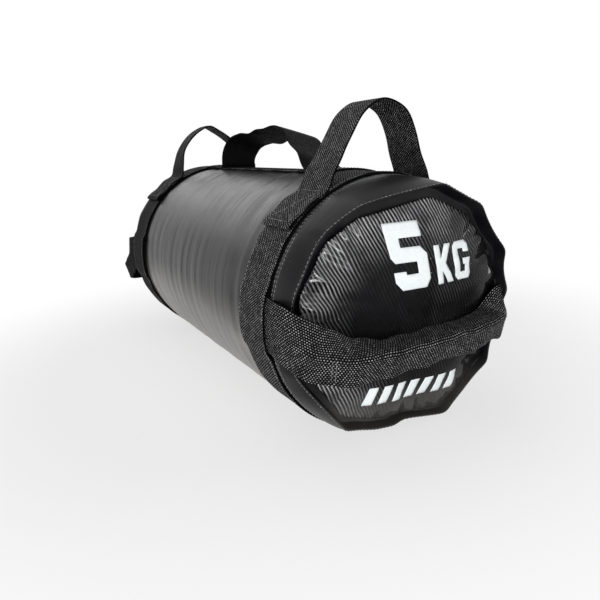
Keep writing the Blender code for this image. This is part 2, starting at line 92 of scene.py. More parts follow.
def soft_noise(rng, u, v, count, u_waves, v_waves):
    """Smooth noise of about unit size: sine waves, a whole number of them round u."""
    total = np.zeros(np.broadcast(u, v).shape)
    for _ in range(count):
        round_u = rng.randint(u_waves[0], u_waves[1] + 1)
        along_v = rng.uniform(*v_waves)
        total += np.sin(round_u * u + along_v * v + rng.uniform(0.0, math.tau))
    return total / math.sqrt(count / 2)


def round_noise(rng, clock, count, waves):
    """Smooth noise round the barrel only."""
    return soft_noise(rng, clock, 0.0, count, waves, (0.0, 1.0))


def wrapped(angle):
    """An angle brought between minus and plus half a turn."""
    return (angle + math.pi) % math.tau - math.pi


def pressed(points):
    """Flatten the underside as the filled bag's weight does, less towards the axis."""
    points = np.array(points, float)
    radius = np.hypot(points[..., 1], points[..., 2])
    lowest = -(radius - FLOOR_PRESS * (radius / BAND_OUTER_RADIUS) ** 2)
    above = np.logaddexp(0.0, (points[..., 2] - lowest) / PRESS_SOFTNESS) * PRESS_SOFTNESS
    points[..., 2] = lowest + above
    return points


def lifted(points):
    """From the barrel's axis to the frame, never below the floor."""
    points = np.array(points, float)
    points[..., 2] = np.maximum(points[..., 2] + AXIS_HEIGHT, CLEARANCE / 3)
    return points


def round_axis(x, clock, radius):
    """Points at a place along the barrel, a clock angle and a radius."""
    x, clock, radius = np.broadcast_arrays(x, clock, radius)
    return np.stack([x, radius * np.sin(clock), radius * np.cos(clock)], axis=-1)


def round_clock(columns, closed=False):
    """Clock angles right round the barrel; closed repeats the first at the end."""
    return np.linspace(-math.pi, math.pi, columns + closed, endpoint=closed)


def radial(clock):
    """Unit vector out of the barrel at a clock angle."""
    return Vector((0.0, math.sin(clock), math.cos(clock)))


def crosswise(clock):
    """Unit vector round the barrel, against the clock, at a clock angle."""
    return Vector((0.0, -math.cos(clock), math.sin(clock)))


def facing(end, points):
    """Points counted outwards, turned to the end that they belong to."""
    points[..., 0] *= end.facing
    return points


def stepped(points, spacing, whole=math.ceil):
    """A closed outline of pairs with a point at about every spacing along it."""
    found = []
    for (x1, y1), (x2, y2) in zip(points, points[1:] + points[:1]):
        steps = max(1, whole(math.hypot(x2 - x1, y2 - y1) / spacing))
        found += [(x1 + (x2 - x1) * step / steps, y1 + (y2 - y1) * step / steps) for step in range(steps)]
    return found


def smooth_run(points, steps):
    """Uniform Catmull-Rom through the first axis of an array of points."""
    points = np.asarray(points, float)
    ends = np.concatenate([2 * points[:1] - points[1:2], points, 2 * points[-1:] - points[-2:-1]])
    found = []
    for index in range(len(points) - 1):
        before, start, stop, after = ends[index:index + 4]
        for step in range(steps):
            t = step / steps
            found.append(0.5 * (2 * start + (stop - before) * t
                                + (2 * before - 5 * start + 4 * stop - after) * t ** 2
                                + (3 * start - before - 3 * stop + after) * t ** 3))
    return np.array(found + [points[-1]])


# Meshes

def grid_faces(rows, columns, wrap_rows=False, wrap_columns=False):
    """Quads between the points of a grid, row by row."""
    faces = []
    for row in range(rows if wrap_rows else rows - 1):
        below = (row + 1) % rows
        for column in range(columns if wrap_columns else columns - 1):
            after = (column + 1) % columns
            faces.append((row * columns + column, row * columns + after,
                          below * columns + after, below * columns + column))
    return faces


def add_piece(name, points, faces, material, place=None, body="bag", replaces=()):
    """A mesh object that rides on a body; place holds each point's cloth coordinates."""
    mesh = bpy.data.meshes.new(name)
    mesh.from_pydata(np.asarray(points, float).reshape(-1, 3).tolist(), [], faces)
    shape = bmesh.new()
    shape.from_mesh(mesh)
    bmesh.ops.recalc_face_normals(shape, faces=shape.faces)
    shape.to_mesh(mesh)
    shape.free()
    mesh.shade_smooth()
    mesh.materials.append(material)
    if place is not None:
        attribute = mesh.attributes.new("place", "FLOAT_VECTOR", "POINT")
        attribute.data.foreach_set("vector", np.asarray(place, np.float32).ravel())
    piece = bpy.data.objects.new(name, mesh)
    bpy.context.scene.collection.objects.link(piece)
    if body:
        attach(piece, body)
    if replaces:
        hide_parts(*replaces)
    return piece


def thicken(piece, thickness):
    """Give an open surface its thickness, inwards from the modelled face."""
    solidify = piece.modifiers.new("sheet_thickness", "SOLIDIFY")
    solidify.thickness = thickness
    solidify.offset = -1.0
    solidify.use_quality_normals = True


# Materials

def node(tree, kind, inputs=None, **settings):
    """Add a node; an input that is given a socket is linked, any other is set."""
    made = tree.nodes.new(kind)
    for name, value in settings.items():
        setattr(made, name, value)
    for key, value in (inputs or {}).items():
        if isinstance(value, bpy.types.NodeSocket):
            tree.links.new(value, made.inputs[key])
        else:
            made.inputs[key].default_value = value
    return made


def calc(tree, operation, *values):
    """Result of a Math node."""
    return node(tree, "ShaderNodeMath", dict(enumerate(values)), operation=operation).outputs[0]


def plus(tree, first, second):
    """Sum of two values."""
    return calc(tree, "ADD", first, second)


def times(tree, first, second):
    """Product of two values."""
    return calc(tree, "MULTIPLY", first, second)


def over(tree, first, second):
    """One value divided by another."""
    return calc(tree, "DIVIDE", first, second)


def scaled(tree, vector, factors):
    """A vector multiplied by fixed factors."""
    return node(tree, "ShaderNodeVectorMath", {0: vector, 1: factors}, operation="MULTIPLY").outputs[0]


def length_of(tree, vector):
    """Length of a vector."""
    return node(tree, "ShaderNodeVectorMath", {0: vector}, operation="LENGTH").outputs["Value"]


def position(tree):
    """Place of the shaded point, for what has no cloth coordinates."""
    return node(tree, "ShaderNodeNewGeometry").outputs["Position"]


def eased(tree, value, start, stop, low=0.0, high=1.0):
    """Value mapped smoothly from start..stop to low..high."""
    ends = {"Value": value, "From Min": start, "From Max": stop, "To Min": low, "To Max": high}
    return node(tree, "ShaderNodeMapRange", ends, interpolation_type="SMOOTHSTEP").outputs[0]


def noise(tree, vector, scale, detail=2.0, roughness=0.5):
    """Factor of a noise texture."""
    return node(tree, "ShaderNodeTexNoise", {"Vector": vector, "Scale": scale, "Detail": detail,
                                             "Roughness": roughness}).outputs["Fac"]


def blend_colour(tree, factor, first, second):
    """Colour between two, which may be sockets or RGB triples."""
    inputs = {0: factor}
    for key, colour in ((6, first), (7, second)):
        inputs[key] = colour if isinstance(colour, bpy.types.NodeSocket) else (*colour, 1.0)
    return node(tree, "ShaderNodeMix", inputs, data_type="RGBA").outputs[2]


def new_group(name, inputs, outputs):
    """A shader node group with named sockets; returns the tree and its inner ends."""
    tree = bpy.data.node_groups.new(name, "ShaderNodeTree")
    for label, kind, value in inputs:
        socket = tree.interface.new_socket(name=label, in_out="INPUT", socket_type=kind)
        if value is not None:
            socket.default_value = value
    for label, kind in outputs:
        tree.interface.new_socket(name=label, in_out="OUTPUT", socket_type=kind)
    return tree, node(tree, "NodeGroupInput").outputs, node(tree, "NodeGroupOutput").inputs


def place_group(tree, group, inputs):
    """A group node in a material; returns its outputs."""
    return node(tree, "ShaderNodeGroup", inputs, node_tree=group).outputs


VECTOR, FLOAT = "NodeSocketVector", "NodeSocketFloat"

# Weave and scrim: yarn wander, crown form, patches of painted glints, the webbing's edge cord, the ribs
YARN_DRIFT_SCALE = (60.0, 60.0, 60.0)
YARN_WANDER = 0.9
COLUMNS_LEFT_OF_ZERO = 200.0
CROWN_ACROSS, CROWN_ALONG, CROWN_FOOT = 4.6, 4.0, 1.15
GLINT_PATCH_SCALE = (90.0, 90.0, 90.0)
EDGE_CORD_PITCH = 1.6 * MM
EDGE_CORD_HEIGHT = 0.8
RIB_SWAY_SCALE, RIB_SWAY = 35.0, 6.0
CROSS_THREAD_HEIGHT = 0.12

# Relief of the yarn, the thread and the ribs under the ink
WEAVE_RELIEF = 0.6 * MM
THREAD_RELIEF = 0.1 * MM
PRINT_RIB_RELIEF = 0.05 * MM


def make_weave_group():
    """Basket weave of heavy webbing: staggered yarn crowns, and a mask of painted glints on some of them."""
    tree, given, found = new_group(
        "webbing_weave",
        [("Place", VECTOR, None), ("Across Pitch", FLOAT, 1.9 * MM), ("Along Pitch", FLOAT, 2.5 * MM),
         ("Half Width", FLOAT, 25.0 * MM), ("Edge Width", FLOAT, 2.2 * MM)],
        [("Height", FLOAT), ("Crown", FLOAT), ("Painted Glint", FLOAT)])
    parts = node(tree, "ShaderNodeSeparateXYZ", {0: given["Place"]}).outputs
    drift = noise(tree, scaled(tree, given["Place"], YARN_DRIFT_SCALE), 1.0, 1.0)
    wander = times(tree, calc(tree, "SUBTRACT", drift, 0.5), YARN_WANDER)
    column_place = plus(tree, over(tree, parts[0], given["Across Pitch"]), wander)
    column = calc(tree, "FLOOR", column_place)
    odd = calc(tree, "MODULO", plus(tree, column, COLUMNS_LEFT_OF_ZERO), 2.0)
    shift = plus(tree, times(tree, odd, 0.5), wander)
    row_place = plus(tree, over(tree, parts[1], given["Along Pitch"]), shift)
    row = calc(tree, "FLOOR", row_place)
    side, rise = (calc(tree, "POWER", calc(tree, "SUBTRACT", calc(tree, "FRACT", value), 0.5), 2.0)
                  for value in (column_place, row_place))
    spread = plus(tree, times(tree, side, CROWN_ACROSS), times(tree, rise, CROWN_ALONG))
    crown = eased(tree, spread, CROWN_FOOT, 0.0)
    cell = node(tree, "ShaderNodeCombineXYZ", {0: column, 1: row, 2: 0.0}).outputs[0]
    lot = node(tree, "ShaderNodeTexWhiteNoise", {"Vector": cell}, noise_dimensions="2D").outputs["Value"]
    patchy = noise(tree, scaled(tree, given["Place"], GLINT_PATCH_SCALE), 1.0, 3.0)
    inwards = calc(tree, "SUBTRACT", given["Half Width"], calc(tree, "ABSOLUTE", parts[0]))
    edge = eased(tree, inwards, given["Edge Width"], 0.0)
    cord = calc(tree, "ABSOLUTE", calc(tree, "SINE", times(tree, parts[1], math.pi / EDGE_CORD_PITCH)))
    height = plus(tree, times(tree, crown, calc(tree, "SUBTRACT", 1.0, edge)),
                  times(tree, edge, times(tree, cord, EDGE_CORD_HEIGHT)))
    # Painted glints: bright specks on the tops of some crowns, in patches
    bright = times(tree, eased(tree, lot, -0.5, 1.0), eased(tree, patchy, 0.30, 0.65, 0.55))
    painted_glint = times(tree, eased(tree, spread, 0.36, 0.06), bright)
    for label, value in (("Height", height), ("Crown", crown), ("Painted Glint", painted_glint)):
        tree.links.new(value, found[label])
    return tree


def make_rib_group():
    """Scrim of the coated fabric, which shows through as fine parallel ribs."""
    tree, given, found = new_group(
        "scrim_ribs",
        [("Place", VECTOR, None), ("Lean", FLOAT, 0.0), ("Rib Pitch", FLOAT, 3.0 * MM),
         ("Cross Pitch", FLOAT, 1.1 * MM)],
        [("Height", FLOAT)])
    turned = node(tree, "ShaderNodeVectorRotate", {"Vector": given["Place"], "Angle": given["Lean"]},
                  rotation_type="Z_AXIS").outputs[0]
    parts = node(tree, "ShaderNodeSeparateXYZ", {0: turned}).outputs
    sway = times(tree, noise(tree, given["Place"], RIB_SWAY_SCALE, 2.0), RIB_SWAY)
    across = over(tree, times(tree, parts[0], math.tau), given["Rib Pitch"])
    ribs = calc(tree, "SINE", plus(tree, across, sway))
    cross = calc(tree, "SINE", over(tree, times(tree, parts[1], math.tau), given["Cross Pitch"]))
    height = plus(tree, times(tree, ribs, 0.5), times(tree, cross, CROSS_THREAD_HEIGHT))
    tree.links.new(height, found["Height"])
    return tree


def make_handling_group():
    """Haze of handling and storage: soft cloudy wear and scattered specks of dust."""
    tree, given, found = new_group(
        "handling_haze",
        [("Place", VECTOR, None), ("Cloud Scale", FLOAT, 18.0), ("Speck Scale", FLOAT, 260.0),
         ("Speck Amount", FLOAT, 0.06)],
        [("Haze", FLOAT), ("Speck", FLOAT)])
    haze = eased(tree, noise(tree, given["Place"], given["Cloud Scale"], 5.0, 0.6), 0.35, 0.75)
    dots = node(tree, "ShaderNodeTexVoronoi", {"Vector": given["Place"], "Scale": given["Speck Scale"]})
    lot = node(tree, "ShaderNodeSeparateColor", {0: dots.outputs["Color"]}).outputs[0]
    chosen = calc(tree, "LESS_THAN", lot, given["Speck Amount"])
    speck = times(tree, eased(tree, dots.outputs["Distance"], 0.16, 0.08), chosen)
    tree.links.new(haze, found["Haze"])
    tree.links.new(speck, found["Speck"])
    return tree


def make_streak_group():
    """Long soft streaks of a sheet that was rolled: fine in X and drawn out in Y of its place."""
    tree, given, found = new_group(
        "rolled_streaks",
        [("Place", VECTOR, None), ("Fine Pitch", FLOAT, 4.0 * MM), ("Broad Pitch", FLOAT, 16.0 * MM),
         ("Stretch", FLOAT, 14.0)],
        [("Fine", FLOAT), ("Broad", FLOAT)])
    parts = node(tree, "ShaderNodeSeparateXYZ", {0: given["Place"]}).outputs
    for label, pitch in (("Fine", given["Fine Pitch"]), ("Broad", given["Broad Pitch"])):
        across = over(tree, parts[0], pitch)
        along = over(tree, over(tree, parts[1], pitch), given["Stretch"])
        vector = node(tree, "ShaderNodeCombineXYZ", {0: across, 1: along, 2: 0.0}).outputs[0]
        tree.links.new(noise(tree, vector, 1.0, 2.0), found[label])
    return tree


WEAVE = make_weave_group()
RIBS = make_rib_group()
HANDLING = make_handling_group()
STREAKS = make_streak_group()


def new_material(name):
    """A material with a Principled shader; returns it, its tree and the shader's inputs."""
    material = bpy.data.materials.new(name)
    material.use_nodes = True
    tree = material.node_tree
    return material, tree, tree.nodes["Principled BSDF"].inputs


def cloth_place(tree):
    """The piece's own cloth coordinates in metres."""
    return node(tree, "ShaderNodeAttribute", attribute_name="place").outputs["Vector"]


def bump(tree, height, distance, normal=None):
    """Normal from a height; distance is the relief in metres."""
    inputs = {"Height": height, "Distance": distance, "Strength": 1.0}
    if normal is not None:
        inputs["Normal"] = normal
    return node(tree, "ShaderNodeBump", inputs).outputs[0]


def make_webbing(name, base, lit, glint_colour):
    """Polypropylene webbing: dark yarn, crowns painted a little lighter as lit, painted glints on some
    crowns.
    """
    material, tree, shader = new_material(name)
    weave = place_group(tree, WEAVE, {"Place": cloth_place(tree)})
    # Crowns painted lighter as lit, then painted glints over some of them
    shade = blend_colour(tree, weave["Crown"], base, lit)
    colour = blend_colour(tree, weave["Painted Glint"], shade, glint_colour)
    tree.links.new(colour, shader["Base Color"])
    tree.links.new(eased(tree, weave["Crown"], 0.0, 1.0, 0.85, 0.50), shader["Roughness"])
    tree.links.new(bump(tree, weave["Height"], WEAVE_RELIEF), shader["Normal"])
    shader["Specular IOR Level"].default_value = 0.05
    return material


# Painted floor reflection lies full up to one height and fades out at the next; painted highlights lighten
# the ribs' crowns from one radius to another, towards one side, and the gathers outside them are glossier
Dust = namedtuple("Dust", "top full amount")
Rub = namedtuple("Rub", "start stop side colour gather_start gather_stop gather_coat")
Vinyl = namedtuple("Vinyl", "name dark hazy roughness rib_relief rib_pitch lean streak_relief speck specular "
                            "dust rub")
GATHER_ROUGHNESS = 0.10
# Beige of the painted floor reflection, which lightens the vinyl low down
PAINTED_FLOOR_REFLECTION = (0.260, 0.246, 0.225)
SPECK_COLOUR = (0.45, 0.44, 0.42)


def paint_crown_highlights(tree, shader, colour, place, ribs, rub):
    """Colour with painted highlights on the ribs' crowns towards one side, and a coat that makes the gathers
    shine.
    """
    radius = length_of(tree, place)
    patchy = eased(tree, noise(tree, place, 45.0, 3.0), 0.32, 0.62, 0.25)
    crown = times(tree, eased(tree, ribs["Height"], 0.0, 0.5), patchy)
    sideways = node(tree, "ShaderNodeVectorMath", {0: place, 1: rub.side}, operation="DOT_PRODUCT")
    one_side = eased(tree, sideways.outputs["Value"], -rub.start, rub.start)
    # Painted highlight: the ribs' crowns lightened towards one side, near the rim
    painted_highlight = times(tree, eased(tree, radius, rub.start, rub.stop), times(tree, crown, one_side))
    coat = eased(tree, radius, rub.gather_start, rub.gather_stop, 0.0, rub.gather_coat)
    tree.links.new(coat, shader["Coat Weight"])
    shader["Coat Roughness"].default_value = GATHER_ROUGHNESS
    return blend_colour(tree, painted_highlight, colour, rub.colour)


def make_vinyl(vinyl):
    """Black coated fabric: gloss with the scrim's ribs, long streaks, haze, a painted floor reflection low
    down and, where given, painted highlights on the rib crowns.
    """
    material, tree, shader = new_material(vinyl.name)
    place = cloth_place(tree)
    ribs = place_group(tree, RIBS, {"Place": place, "Rib Pitch": vinyl.rib_pitch, "Lean": vinyl.lean})
    streaks = place_group(tree, STREAKS, {"Place": place})
    handling = place_group(tree, HANDLING, {"Place": place, "Speck Amount": vinyl.speck})
    height = node(tree, "ShaderNodeSeparateXYZ", {0: position(tree)}).outputs[2]
    dust = vinyl.dust
    # Painted reflection of the pale floor: full below one height, fading out by the next
    painted_reflection = times(tree, eased(tree, height, dust.top, dust.full),
                    eased(tree, handling["Haze"], 0.0, 1.0, 0.7 * dust.amount, dust.amount))
    colour = blend_colour(tree, handling["Haze"], vinyl.dark, vinyl.hazy)
    if vinyl.rub:
        colour = paint_crown_highlights(tree, shader, colour, place, ribs, vinyl.rub)
    colour = blend_colour(tree, painted_reflection, colour, PAINTED_FLOOR_REFLECTION)
    tree.links.new(blend_colour(tree, handling["Speck"], colour, SPECK_COLOUR), shader["Base Color"])
    uneven = plus(tree, times(tree, streaks["Fine"], 0.10), times(tree, handling["Haze"], 0.08))
    tree.links.new(plus(tree, uneven, vinyl.roughness), shader["Roughness"])
    broad = bump(tree, streaks["Broad"], vinyl.streak_relief)
    fine = bump(tree, streaks["Fine"], vinyl.streak_relief / 5, broad)
    tree.links.new(bump(tree, ribs["Height"], vinyl.rib_relief, fine), shader["Normal"])
    shader["Specular IOR Level"].default_value = vinyl.specular
    return material


def make_thread():
    """Twisted polyester thread."""
    material, tree, shader = new_material("stitch_thread")
    where = position(tree)
    grain = noise(tree, where, 900.0, 2.0)
    tree.links.new(blend_colour(tree, eased(tree, grain, 0.35, 0.65), (0.05, 0.05, 0.052),
                                (0.34, 0.34, 0.34)), shader["Base Color"])
    tree.links.new(bump(tree, grain, THREAD_RELIEF), shader["Normal"])
    shader["Roughness"].default_value = 0.5
    return material


def make_print():
    """White ink on the ribbed vinyl, very slightly uneven."""
    material, tree, shader = new_material("white_print")
    place = cloth_place(tree)
    ribs = place_group(tree, RIBS, {"Place": place, "Lean": RIB_LEAN})
    mottle = noise(tree, place, 300.0, 4.0, 0.7)
    tree.links.new(blend_colour(tree, eased(tree, mottle, 0.3, 0.7), (0.86, 0.92, 0.93),
                                (0.93, 0.97, 0.97)), shader["Base Color"])
    tree.links.new(bump(tree, ribs["Height"], PRINT_RIB_RELIEF), shader["Normal"])
    tree.links.new(eased(tree, mottle, 0.2, 0.8, 0.45, 0.6), shader["Roughness"])
    return material


def make_soft_filling(name, dark, light, scale, relief, roughness):
    """Foam, sackcloth, sand or nylon of the filling: grain of one colour range."""
    material, tree, shader = new_material(name)
    where = position(tree)
    grain = noise(tree, where, scale, 4.0, 0.65)
    cells = node(tree, "ShaderNodeTexVoronoi", {"Vector": where, "Scale": scale * 1.7}).outputs["Distance"]
    tree.links.new(blend_colour(tree, eased(tree, grain, 0.3, 0.7), dark, light), shader["Base Color"])
    tree.links.new(bump(tree, plus(tree, cells, grain), relief), shader["Normal"])
    tree.links.new(eased(tree, grain, 0.2, 0.8, roughness, roughness - 0.15), shader["Roughness"])
    return material


RIB_LEAN = math.radians(-22.0)
# The last two of each vinyl: its painted floor reflection low down and, on the disc, painted highlights on
# the rib crowns
BARREL_VINYL = make_vinyl(Vinyl(
    "barrel_vinyl", (0.008, 0.008, 0.008), (0.022, 0.021, 0.020), roughness=0.25, rib_relief=0.02 * MM,
    rib_pitch=1.3 * MM, lean=0.0, streak_relief=0.45 * MM, speck=0.015, specular=0.20,
    dust=Dust(138.0 * MM, 84.0 * MM, 1.0), rub=None))
RIM_VINYL = make_vinyl(Vinyl(
    "rim_vinyl", (0.003, 0.003, 0.004), (0.009, 0.009, 0.010), roughness=0.34, rib_relief=0.02 * MM,
    rib_pitch=1.3 * MM, lean=0.0, streak_relief=0.45 * MM, speck=0.02, specular=0.20,
    dust=Dust(60.0 * MM, 24.0 * MM, 0.20), rub=None))
# The disc's ribs get painted highlights towards their upper left
DISC_VINYL = make_vinyl(Vinyl(
    "disc_vinyl", (0.0012, 0.0012, 0.0018), (0.0030, 0.0030, 0.0040), roughness=0.07, rib_relief=0.42 * MM,
    rib_pitch=3.0 * MM, lean=RIB_LEAN, streak_relief=0.15 * MM, speck=0.02, specular=0.08,
    dust=Dust(58.0 * MM, 24.0 * MM, 0.26),
    rub=Rub(50.0 * MM, 92.0 * MM, (-0.80, 0.60, 0.0), (0.46, 0.46, 0.47), 66.0 * MM, 100.0 * MM, 0.55)))
# Lit and shaded copies of one webbing: the shaded one has darker crowns and dimmer glints, as painted shade
LIT_WEBBING = make_webbing("lit_webbing", (0.0016, 0.0016, 0.0018), (0.005, 0.005, 0.0055),
                       (0.50, 0.50, 0.50))
SHADED_WEBBING = make_webbing("shaded_webbing", (0.0014, 0.0014, 0.0016), (0.003, 0.003, 0.0033),
                            (0.03, 0.03, 0.03))
THREAD = make_thread()
PRINT = make_print()
FOAM = make_soft_filling("grey_foam", (0.24, 0.25, 0.27), (0.38, 0.39, 0.41), 900.0, 0.5 * MM, 0.95)
SACKCLOTH = make_soft_filling("woven_sack", (0.48, 0.50, 0.48), (0.66, 0.68, 0.66), 700.0, 0.3 * MM, 0.75)
SAND = make_soft_filling("dry_sand", (0.30, 0.22, 0.13), (0.52, 0.41, 0.27), 2200.0, 0.4 * MM, 0.95)
NYLON = make_soft_filling("nylon_tie", (0.66, 0.65, 0.60), (0.78, 0.77, 0.73), 60.0, 0.05 * MM, 0.5)

# Barrel cover between the middles of the two bands
COVER_ROWS = 170
COVER_COLUMNS = 300
COVER_BUTT = 0.4 * MM
COVER_PUFF = 0.7 * MM
COVER_PINCH = 0.5 * MM
PINCH_REACH = 14.0 * MM
BROAD_RIPPLE = 0.20 * MM
FINE_RIPPLE = 0.05 * MM


def cover_radius(x, clock):
    """Barrel radius with soft ripples that run round it, nipped in beside the bands."""
    rng = np.random.RandomState(11)
    beside = np.exp(-((np.abs(x) - BAND_REAR_EDGE) / PINCH_REACH) ** 2)
    broad = soft_noise(rng, clock, x, 9, (0, 4), (90.0, 320.0))
    fine = soft_noise(rng, clock, x, 12, (0, 9), (400.0, 900.0))
    free = smoothstep((BAND_REAR_EDGE - np.abs(x)) / PINCH_REACH)
    return (BARREL_RADIUS + COVER_PUFF * free * (1.0 - beside) - COVER_PINCH * beside
            + free * (BROAD_RIPPLE * broad + FINE_RIPPLE * fine))


def build_barrel_cover():
    """Vinyl cover of the barrel, filled tight; the bands hide its ends."""
    reach = BAND_MIDDLE - COVER_BUTT
    x, clock = np.meshgrid(np.linspace(-reach, reach, COVER_ROWS), round_clock(COVER_COLUMNS), indexing="ij")
    points = lifted(pressed(round_axis(x, clock, cover_radius(x, clock))))
    cover = add_piece("barrel_cover", points, grid_faces(COVER_ROWS, COVER_COLUMNS, wrap_columns=True),
                      BARREL_VINYL, round_axis(x, clock, BARREL_RADIUS * 2.0),
                      replaces=("barrel_skin",))
    thicken(cover, SKIN_THICKNESS)


# Rims: corners of the polygon that the drawn-in rim makes, as clock degrees and shares of
# the rim's radius, and how far the whole rim leans
FRONT_RIM_CORNER_SHARES = (
    (-173, 0.990), (-144, 1.035), (-108, 1.012), (-73, 0.978), (-44, 1.008), (-26, 0.986),
    (15, 1.018), (38, 1.006), (67, 0.990), (88, 0.980), (126, 1.005), (158, 1.045),
)
REAR_RIM_CORNER_SHARES = (
    (-172, 0.980), (-142, 1.020), (-112, 1.005), (-84, 0.985), (-60, 1.005), (-35, 0.990),
    (-8, 1.010), (20, 0.990), (48, 1.005), (78, 0.975), (104, 1.010), (135, 1.020), (162, 0.985),
)
FRONT_RIM_LEAN_SHARES = (0.135, 0.114)
REAR_RIM_LEAN_SHARES = (0.04, 0.07)
LEAN_SOFTNESS = 20.0 * MM
RIM_COLUMNS = 360
RIM_STEPS = 5
RIM_SAMPLES = 1440
CORNER_REACH = 24
CHORD_SHARE = 0.85
CORNER_SOFTNESS = 2.2
CORNER_WIDTH = math.radians(5.0)
LIP_ROUND = 0.9 * MM
LIP_LIFT = 0.9 * MM
HEM_DEPTH = 10.0 * MM
HEM_DROP = 8.0 * MM
DROP_SWING_SHARE = 0.60
DEPTH_SWING_SHARE = 0.45
DROP_CLOCK = math.radians(-45.0)
STRIP_PUFF = 0.8 * MM
STRIP_LEVEL = 3.0 * MM
STRIP_NIP = 0.2 * MM
LIP_BEAD = 0.1 * MM
LIP_WANDER = 0.5 * MM
DROP_WANDER = 0.6 * MM
HEM_TURN = 4.0 * MM
SEAM_ALLOWANCE = 5.0 * MM


def rim_radius(end, clock):
    """Radius of the rim's fold: chords between its corners, a little rounded."""
    corners = np.radians([corner[0] for corner in end.corners])
    radii = np.array([corner[1] for corner in end.corners]) * RIM_RADIUS
    fine = round_clock(RIM_SAMPLES)
    after = np.searchsorted(corners, fine) % len(corners)
    before = (after - 1) % len(corners)
    span = (corners[after] - corners[before]) % math.tau
    into = (fine - corners[before]) % math.tau
    chord = (radii[before] * radii[after] * np.sin(span)
             / (radii[before] * np.sin(into) + radii[after] * np.sin(span - into)))
    arc = radii[before] + (radii[after] - radii[before]) * into / span
    radius = CHORD_SHARE * chord + (1.0 - CHORD_SHARE) * arc
    degrees = np.arange(-CORNER_REACH, CORNER_REACH + 1) * 360.0 / RIM_SAMPLES
    kernel = np.exp(-(degrees / CORNER_SOFTNESS) ** 2)
    kernel /= kernel.sum()
    padded = np.concatenate([radius[-CORNER_REACH:], radius, radius[:CORNER_REACH]])
    smooth = np.convolve(padded, kernel, mode="valid")
    return np.interp(wrapped(clock), np.append(fine, math.pi), np.append(smooth, smooth[0]))


def rim_corner_share(end, clock):
    """1 at a corner of the rim, 0 between corners."""
    corners = np.radians([corner[0] for corner in end.corners])
    away = np.abs(wrapped(np.asarray(clock)[..., None] - corners))
    return np.exp(-(away.min(axis=-1) / CORNER_WIDTH) ** 2)


def end_lean(end, y, z):
    """How far the end face stands out for its lean; the filling holds its lower part forward."""
    lean_y, lean_z = end.lean
    low = smoothstep(-z / RIM_RADIUS)
    aside = np.where(y < 0.0, 1.0 - low, 1.0)
    return lean_y * y * aside + lean_z * np.logaddexp(0.0, z / LEAN_SOFTNESS) * LEAN_SOFTNESS


def hem_drop(end, clock):
    """How far inside the rim the disc is sewn on."""
    return HEM_DROP * (1.0 + DROP_SWING_SHARE * np.cos(clock - end.facing * DROP_CLOCK))


def hem_tilt(end, y, z):
    """The disc sits deeper in the hem at its upper left than at its lower right."""
    drop_clock = end.facing * DROP_CLOCK
    return HEM_DEPTH * DEPTH_SWING_SHARE * (y * math.sin(drop_clock) + z * math.cos(drop_clock)) / RIM_RADIUS


def strip_section(end, clock):
    """Sections of the rim: from under the band to the fold, round it and back to the seam."""
    rng = np.random.RandomState(end.seed)
    radius = rim_radius(end, clock)
    corner = rim_corner_share(end, clock)
    lift = LIP_LIFT * (2.0 * corner - 1.0) + LIP_WANDER * round_noise(rng, clock, 6, (5, 17))
    y, z = radius * np.sin(clock), radius * np.cos(clock)
    x = HALF_LENGTH + end_lean(end, y, z) + lift
    run = x - BAND_FRONT_EDGE
    puff = STRIP_PUFF * (1.0 + 0.6 * round_noise(rng, clock, 6, (3, 11)))
    depth = HEM_DEPTH + hem_tilt(end, y, z)
    drop = hem_drop(end, clock) + DROP_WANDER * round_noise(rng, clock, 7, (4, 19))

    def strip(share):
        return BARREL_RADIUS - (BARREL_RADIUS - radius) * share ** RIM_DRAW_POWER

    rows = [
        (BAND_MIDDLE + COVER_BUTT, BARREL_RADIUS),
        (BAND_FRONT_EDGE - STRIP_LEVEL, BARREL_RADIUS),
        (BAND_FRONT_EDGE + 0.06 * run, strip(0.05) - STRIP_NIP),
        (BAND_FRONT_EDGE + 0.30 * run, strip(0.30) + puff),
        (BAND_FRONT_EDGE + 0.62 * run, strip(0.62) + puff * 0.8),
        (BAND_FRONT_EDGE + 0.86 * run, strip(0.86) + puff * 0.2),
        (x - LIP_ROUND, radius + LIP_BEAD),
        (x - 0.25 * LIP_ROUND, radius - 0.35 * LIP_ROUND),
        (x, radius - LIP_ROUND),
        (x - 0.9 * LIP_ROUND, radius - 1.7 * LIP_ROUND),
        (x - 0.50 * depth, radius - 1.9 * LIP_ROUND - 0.06 * drop),
        (x - 1.00 * depth, radius - 2.0 * LIP_ROUND - 0.14 * drop),
        (x - depth - 0.8 * HEM_TURN, radius - 2.1 * LIP_ROUND - 0.25 * drop),
        (x - depth - HEM_TURN, radius - 2.5 * LIP_ROUND - 0.45 * drop),
        (x - depth - HEM_TURN, radius - drop - SEAM_ALLOWANCE),
    ]
    return np.stack([np.stack(np.broadcast_arrays(*row, x)[:2], axis=-1) for row in rows])


def build_rim(end):
    """Folded hem of the vinyl with the strip up to the band."""
    clock = round_clock(RIM_COLUMNS)
    section = smooth_run(strip_section(end, clock), RIM_STEPS)
    x, radius = section[..., 0], section[..., 1]
    points = facing(end, pressed(round_axis(x, clock[None, :], radius)))
    steps = np.linalg.norm(np.diff(section, axis=0), axis=-1)
    run = np.concatenate([np.zeros((1, RIM_COLUMNS)), np.cumsum(steps, axis=0)])
    faces = grid_faces(len(section), RIM_COLUMNS, wrap_columns=True)
    rim = add_piece(end.label + "_rim", lifted(points), faces, RIM_VINYL,
                    round_axis(run, clock[None, :], radius * 2.0),
                    replaces=(end.label + "_rim_hem",))
    thicken(rim, SKIN_THICKNESS)


# End discs
DISC_CELLS = 84
DISC_BULGE = 15.5 * MM
DISC_BULGE_POWER = 2.6
DISC_THICKNESS = 1.2 * MM
SEAM_TUCK = 0.8 * MM
PUCKER_COUNT = 46
PUCKER_RELIEF = 0.9 * MM
FOLD_GAIN = 1.6
